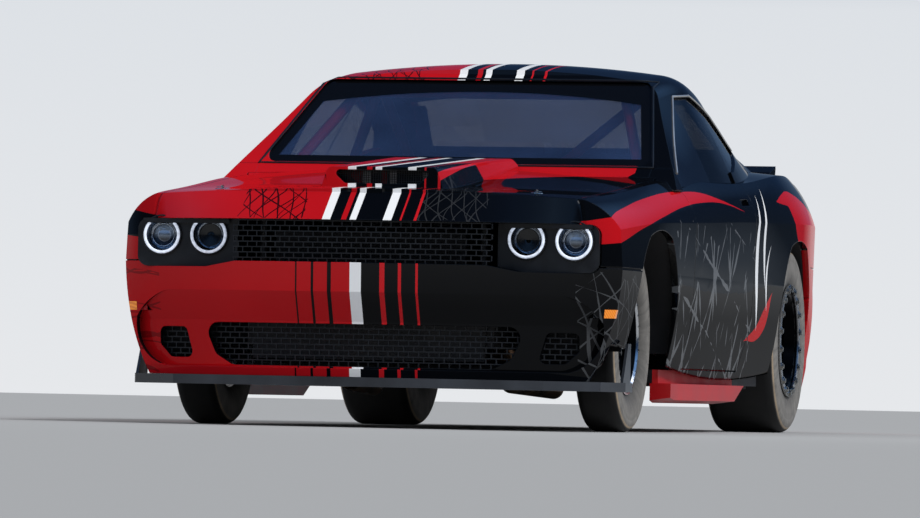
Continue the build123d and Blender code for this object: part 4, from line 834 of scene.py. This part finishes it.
rear_border = add("Math", [rear_border, rear_pane], "MULTIPLY")
border = add("Math", [border, rear_border], "MAXIMUM")
# Windshield base colour, blue-grey in darker and paler patches: partly tint, partly painted sky reflection
painted_sky_streaks = add("TexNoise", {"Vector": spot, "Scale": 2.2, "Detail": 4.0})
clear = add("Mix", {0: painted_sky_streaks, 6: "121d36", 7: "3d5584"})
side_tone = add("Mix", {0: shield, 6: "07090c", 7: clear})
tone = add("Mix", {0: border, 6: side_tone, 7: "08090c"})
through = add("MapRange", [shield, 0, 1, 0.66, 0.42])
solid_part = add("Math", [through, border], "MAXIMUM")
feed(shader, {"Base Color": tone, "Alpha": solid_part, "Roughness": 0.02, "IOR": 1.38})
dress(tinted, "fixed_glass", "door_glass_left", "door_glass_right")

# Window mouldings
# Bright rolled strip over the side glass, and extruded rubber seals round the front and rear glass.
bright_strip = finish("bright_rolled_strip", "e4e2dc", "c9c8c4", 0.2, 0.002, 0.0001, (0.36, 0.46), metal=0.8)
seal_rubber = finish("extruded_seal_rubber", "141416", "08080a", 0.1, 0.002, 0.0002, (0.4, 0.55))


def faces_of(*names):
    """Search tree over CAD nodes' faces, for laying small pieces on them."""
    corners, faces = [], []
    for name in names:
        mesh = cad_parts[name].data
        start = len(corners)
        corners += [v.co.copy() for v in mesh.vertices]
        faces += [[start + i for i in p.vertices] for p in mesh.polygons]
    return BVHTree.FromPolygons(corners, faces)


def laid(skin, corners, way, lift, step=0.03, closed=False):
    """Points every step along a run of corners, pushed along way on to a surface and lifted off it."""
    way = Vector(way)
    found = []
    pairs = list(zip(corners, corners[1:])) + ([(corners[-1], corners[0])] if closed else [])
    for start, end in pairs:
        start, end = Vector(start), Vector(end)
        count = max(1, round((end - start).length / step))
        for i in range(count):
            hit = skin.ray_cast(start.lerp(end, i / count), way)[0]
            if hit:
                found.append(hit - way * lift)
    if not closed:
        hit = skin.ray_cast(Vector(corners[-1]), way)[0]
        if hit:
            found.append(hit - way * lift)
    return found


shell = faces_of("body_shell")
side_run = [(700, 992), (1392, 1316), (1745, 1334), (2165, 1266), (2365, 1202), (2460, 1140)]
shield_run = [(-776, 1024), (-650, 1372), (650, 1372), (776, 1024)]
rear_run = [(-640, 1140), (-560, 1352), (560, 1352), (640, 1140)]
for hand, side in SIDES:
    corners = [(side * 1.2, FRONT_AXLE_Y + s / 1000, v / 1000 + 0.007) for s, v in side_run]
    points = laid(shell, corners, (-side, 0, 0), 0.001)
    fit("window_strip_" + hand, bead("window_strip", points, 0.0042, bright_strip), "car")
grow = 0.006
for name, run, start_y, way in [("windshield_seal", shield_run, -3.0, 1),
                                ("rear_glass_seal", rear_run, 3.0, -1)]:
    corners = [(x / 1000 + math.copysign(grow, x), start_y, z / 1000 + (grow if z > 1200 else -grow))
               for x, z in run]
    points = laid(shell, corners, (0, way, 0), 0.0005, closed=True)
    fit(name, bead(name, points, 0.005, seal_rubber, closed=True), "car")

# Bumper brackets
# Black plastic strips riveted behind the seam between each fender and the bumper, so no light shows.
for hand, side in SIDES:
    fender, cover = faces_of("fender_" + hand), faces_of("front_bumper")
    work = bmesh.new()
    lines = []
    for k in range(46):
        y = FRONT_AXLE_Y - 0.95 + 0.015 * k
        reach = [skin.ray_cast(Vector((side * 1.3, y, z)), Vector((-side, 0, 0)))[0]
                 for skin, z in ((fender, 0.622), (cover, 0.596))]
        if all(reach) and min(side * p.x for p in reach) > 0.7:
            lines.append([work.verts.new((p.x - side * 0.0035, y, p.z)) for p in reach])
    for one, two in zip(lines, lines[1:]):
        face = work.faces.new((one[0], one[1], two[1], two[0]))
        if face.calc_center_median().x * face.normal.x < 0:
            face.normal_flip()
    fit("bumper_bracket_" + hand, mesh_of("bumper_bracket", work), "car", liner)

# Splitter and side skirts
# A flat tray of satin black composite under the nose, and folded skirts sprayed gloss red that hang
# from the sills.
tray = finish("satin_composite_tray", "363a41", "1e2126", 0.45, 0.003, 0.0003, (0.24, 0.4), coat=0.5)
dress(tray, "splitter")
dress(finish("gloss_red_skirt", "c41a20", "ab1218", 0.4, 0.004, 0.0001, (0.35, 0.45), coat=0.2),
      "side_skirts")

# Hood pins
# Zinc plated steel pins stand through oval scuff plates at the hood's front corners, and a spring
# clip through each pin locks the hood.
hood_skin = faces_of("hood")
for hand, side in SIDES:
    top = hood_skin.ray_cast(Vector((side * 0.60, FRONT_AXLE_Y - 0.60, 2)), Vector((0, 0, -1)))
    spot_on, tilt = top[0], top[1].normalized()
    turn = tilt.to_track_quat("Z", "Y").to_matrix().to_4x4()
    work = bmesh.new()
    for radius, low_z, high_z, sx, sy in [(0.021, -0.001, 0.0018, 1.0, 1.5), (0.0055, 0.0015, 0.013, 1, 1)]:
        made = bmesh.ops.create_cone(work, cap_ends=True, segments=28, radius1=radius, radius2=radius * 0.94,
                                     depth=high_z - low_z)
        for vert in made["verts"]:
            vert.co = Vector((vert.co.x * sx, vert.co.y * sy, vert.co.z + (low_z + high_z) / 2))
    bmesh.ops.transform(work, matrix=Matrix.Translation(spot_on) @ turn, verts=work.verts)
    fit("hood_pin_" + hand, mesh_of("hood_pin", work), "hood", bolt_steel)
    clip = [spot_on + turn.to_3x3() @ Vector((0.012 * math.cos(a), 0.016 * math.sin(a) - 0.010, 0.0065))
            for a in [2 * math.pi * k / 20 for k in range(20)]]
    fit("hood_clip_" + hand, bead("hood_clip", clip, 0.0013, bolt_steel, closed=True, sides=6), "hood")

# Roll cage
# Bent steel tube, welded and powder coated red; foam sleeves cover the bars that pass the head pad.
dress(finish("red_powder_coat", "b3161c", "8c0e14", 0.3, 0.0015, 0.0002, (0.3, 0.42), coat=0.4), "roll_cage")
sleeve_foam = finish("closed_cell_foam_sleeve", "2a2a2c", "18181a", 0.05, 0.002, 0.0005, (0.75, 0.9))
for name, start, end in [("cage_sleeve_side", (0.545, 1.36, 1.318), (0.557, 1.66, 1.342)),
                         ("cage_sleeve_rear", (0.52, 1.730, 1.352), (0.20, 1.730, 1.352))]:
    start, end = [Vector((p[0], FRONT_AXLE_Y + p[1], p[2])) for p in (start, end)]
    points = [start.lerp(end, i / 12) for i in range(13)]
    sleeve = fit(name, bead(name, points, 0.033, sleeve_foam, sides=20), "car")

# Driver's seat and harness
# A moulded shell with sewn, foam-filled cloth pads for seat, back and head, and a webbing harness.
seat_shell = finish("moulded_seat_shell", "1d1e20", "0e0f10", 0.2, 0.002, 0.0002, (0.3, 0.45))
work = bmesh.new()
work.from_mesh(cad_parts["seat"].data)
bmesh.ops.remove_doubles(work, verts=work.verts, dist=0.00001)
fit("seat_shell", mesh_of("seat_shell", work), "car", seat_shell, stands_for=("seat",))
cloth, add, shader, spot = opened("woven_seat_cloth")
# Threads are 1.5 mm apart, drawn at 4 mm so that they show
weave = add("VectorMath", [spot, (1570.0, 1570.0, 1570.0)], "MULTIPLY")
weave = add("VectorMath", [weave], "SINE")
threads = add("SeparateXYZ", [weave])
crossing = add("Math", [threads.outputs[0], threads.outputs[2]], "MULTIPLY")
tone = add("Mix", {0: crossing, 6: "151517", 7: "2c2c30"})
relief = add("Bump", {"Height": crossing, "Strength": 0.5, "Distance": 0.0008})
feed(shader, {"Base Color": tone, "Normal": relief, "Roughness": 0.9, "Sheen Weight": 0.4})
SEAT_X = 0.425
# Rows: name, (half width, station, z) at the near end and at the far end, way up, thickness, seams
pads = [
    ("seat_pad", (0.115, 1.125, 0.402), (0.115, 1.455, 0.378), (0, 0, 1), 0.055, 3),
    ("back_pad", (0.135, 1.462, 0.440), (0.135, 1.560, 0.860), (0, -0.97, 0.24), 0.050, 4),
    ("head_pad", (0.085, 1.572, 0.885), (0.080, 1.612, 1.030), (0, -0.97, 0.24), 0.045, 1)]
for name, near, far, stand, thick, seams in pads:
    work = bmesh.new()
    across_n, along_n = 18, 26
    sheets = []
    # The under side stays flat at its rim; the upper side is crowned and drawn in along its seams
    for face in (0, 1):
        grid = []
        for j in range(along_n + 1):
            v = j / along_n
            line = []
            for i in range(across_n + 1):
                u = i / across_n
                half, station, level = [n + (f - n) * v for n, f in zip(near, far)]
                pull = 1 - 0.035 * (1 - abs(2 * v - 1) ** 3)
                crown = (1 - abs(2 * u - 1) ** 5) * (1 - abs(2 * v - 1) ** 6)
                seam = min(abs(v * (seams + 1) - k) for k in range(1, seams + 1))
                channel = 0.32 * math.exp(-(seam / 0.10) ** 2)
                rise = thick * (0.42 + (0.58 - channel) * crown if face else 0.40 - 0.38 * crown)
                rest = Vector((SEAT_X + (2 * u - 1) * half * pull, FRONT_AXLE_Y + station, level))
                line.append(work.verts.new(rest + rise * Vector(stand)))
            grid.append(line)
        sheets.append(grid)
    for grid in sheets:
        for j in range(along_n):
            for i in range(across_n):
                work.faces.new((grid[j][i], grid[j][i + 1], grid[j + 1][i + 1], grid[j + 1][i]))
    border = ([(0, i) for i in range(across_n)] + [(j, across_n) for j in range(along_n)]
              + [(along_n, i) for i in range(across_n, 0, -1)] + [(j, 0) for j in range(along_n, 0, -1)])
    for (j0, i0), (j1, i1) in zip(border, border[1:] + border[:1]):
        work.faces.new((sheets[0][j0][i0], sheets[0][j1][i1], sheets[1][j1][i1], sheets[1][j0][i0]))
    bmesh.ops.recalc_face_normals(work, faces=work.faces)
    for face in work.faces:
        face.smooth = True
    fit(name, mesh_of(name, work), "car", cloth)
webbing = finish("woven_harness_webbing", "b3161c", "8f1016", 0.05, 0.0012, 0.0004, (0.6, 0.75))
shoulder = [(0.075, 1.66, 0.93), (0.072, 1.555, 0.905), (0.070, 1.478, 0.78), (0.062, 1.440, 0.62),
            (0.020, 1.395, 0.485)]
lap = [(0.150, 1.420, 0.455), (0.095, 1.390, 0.470), (0.0, 1.378, 0.478), (-0.095, 1.390, 0.470),
       (-0.150, 1.420, 0.455)]
for name, side, run in [("shoulder_strap_left", 1, shoulder), ("shoulder_strap_right", -1, shoulder),
                        ("lap_strap", 1, lap)]:
    points = [Vector((SEAT_X + side * a, FRONT_AXLE_Y + s, c)) for a, s, c in run]
    curve = bpy.data.curves.new(name, "CURVE")
    curve.dimensions = "3D"
    spline = curve.splines.new("NURBS")
    spline.points.add(len(points) - 1)
    for target, point in zip(spline.points, points):
        target.co = (*point, 1)
    spline.order_u, spline.use_endpoint_u, spline.resolution_u = 3, True, 8
    holder = bpy.data.objects.new(name, curve)
    scene.collection.objects.link(holder)
    line = bpy.data.meshes.new_from_object(holder.evaluated_get(bpy.context.evaluated_depsgraph_get()))
    centre = [v.co.copy() for v in line.vertices]
    bpy.data.objects.remove(holder)
    wide = Vector((0.022, 0, 0)) if "shoulder" in name else Vector((0, 0.005, 0.022))
    work = bmesh.new()
    rails = []
    for i, place in enumerate(centre):
        ahead = (centre[min(i + 1, len(centre) - 1)] - centre[max(i - 1, 0)]).normalized()
        off = ahead.cross(wide).normalized() * 0.0014
        rails.append([
            work.verts.new(place + a * wide + b * off) for a, b in ((-1, -1), (1, -1), (1, 1), (-1, 1))])
    for one, two in zip(rails, rails[1:]):
        for k in range(4):
            work.faces.new((one[k], one[(k + 1) % 4], two[(k + 1) % 4], two[k]))
    work.faces.new(rails[0])
    work.faces.new(rails[-1])
    bmesh.ops.recalc_face_normals(work, faces=work.faces)
    fit(name, mesh_of(name, work), "car", webbing)

# Dashboard, steering column and wheel
# A moulded dash in soft black, a tachometer in an alloy pod on top of it, and a small race wheel on
# an alloy hub with a suede rim.
dress(finish("soft_grained_dash", "19191b", "0d0d0e", 0.2, 0.003, 0.0006, (0.6, 0.75)), "dashboard")
suede = finish("black_suede", "232325", "131314", 0.03, 0.0018, 0.0008, (0.85, 0.95))
dress(suede, "steering_wheel", "steering_column")
pod = Vector((SEAT_X, FRONT_AXLE_Y + 0.812, 0.992))
work = bmesh.new()
rings = turned(work, pod, [(0.012, -0.052), (0.045, -0.046), (0.060, -0.020), (0.062, 0.020), (0.058, 0.024),
                           (0.055, 0.020), (0.055, 0.004), (0.0, 0.004)])
work.faces.new(rings[0])
bmesh.ops.recalc_face_normals(work, faces=work.faces)
for face in work.faces:
    face.smooth = True
fit("tachometer", mesh_of("tachometer", work), "car", hub_alloy)
stem = [pod + Vector((0, 0, -0.060)), pod + Vector((0, -0.004, -0.052))]
fit("tachometer_stem", bead("tachometer_stem", stem, 0.012, hub_alloy), "car")
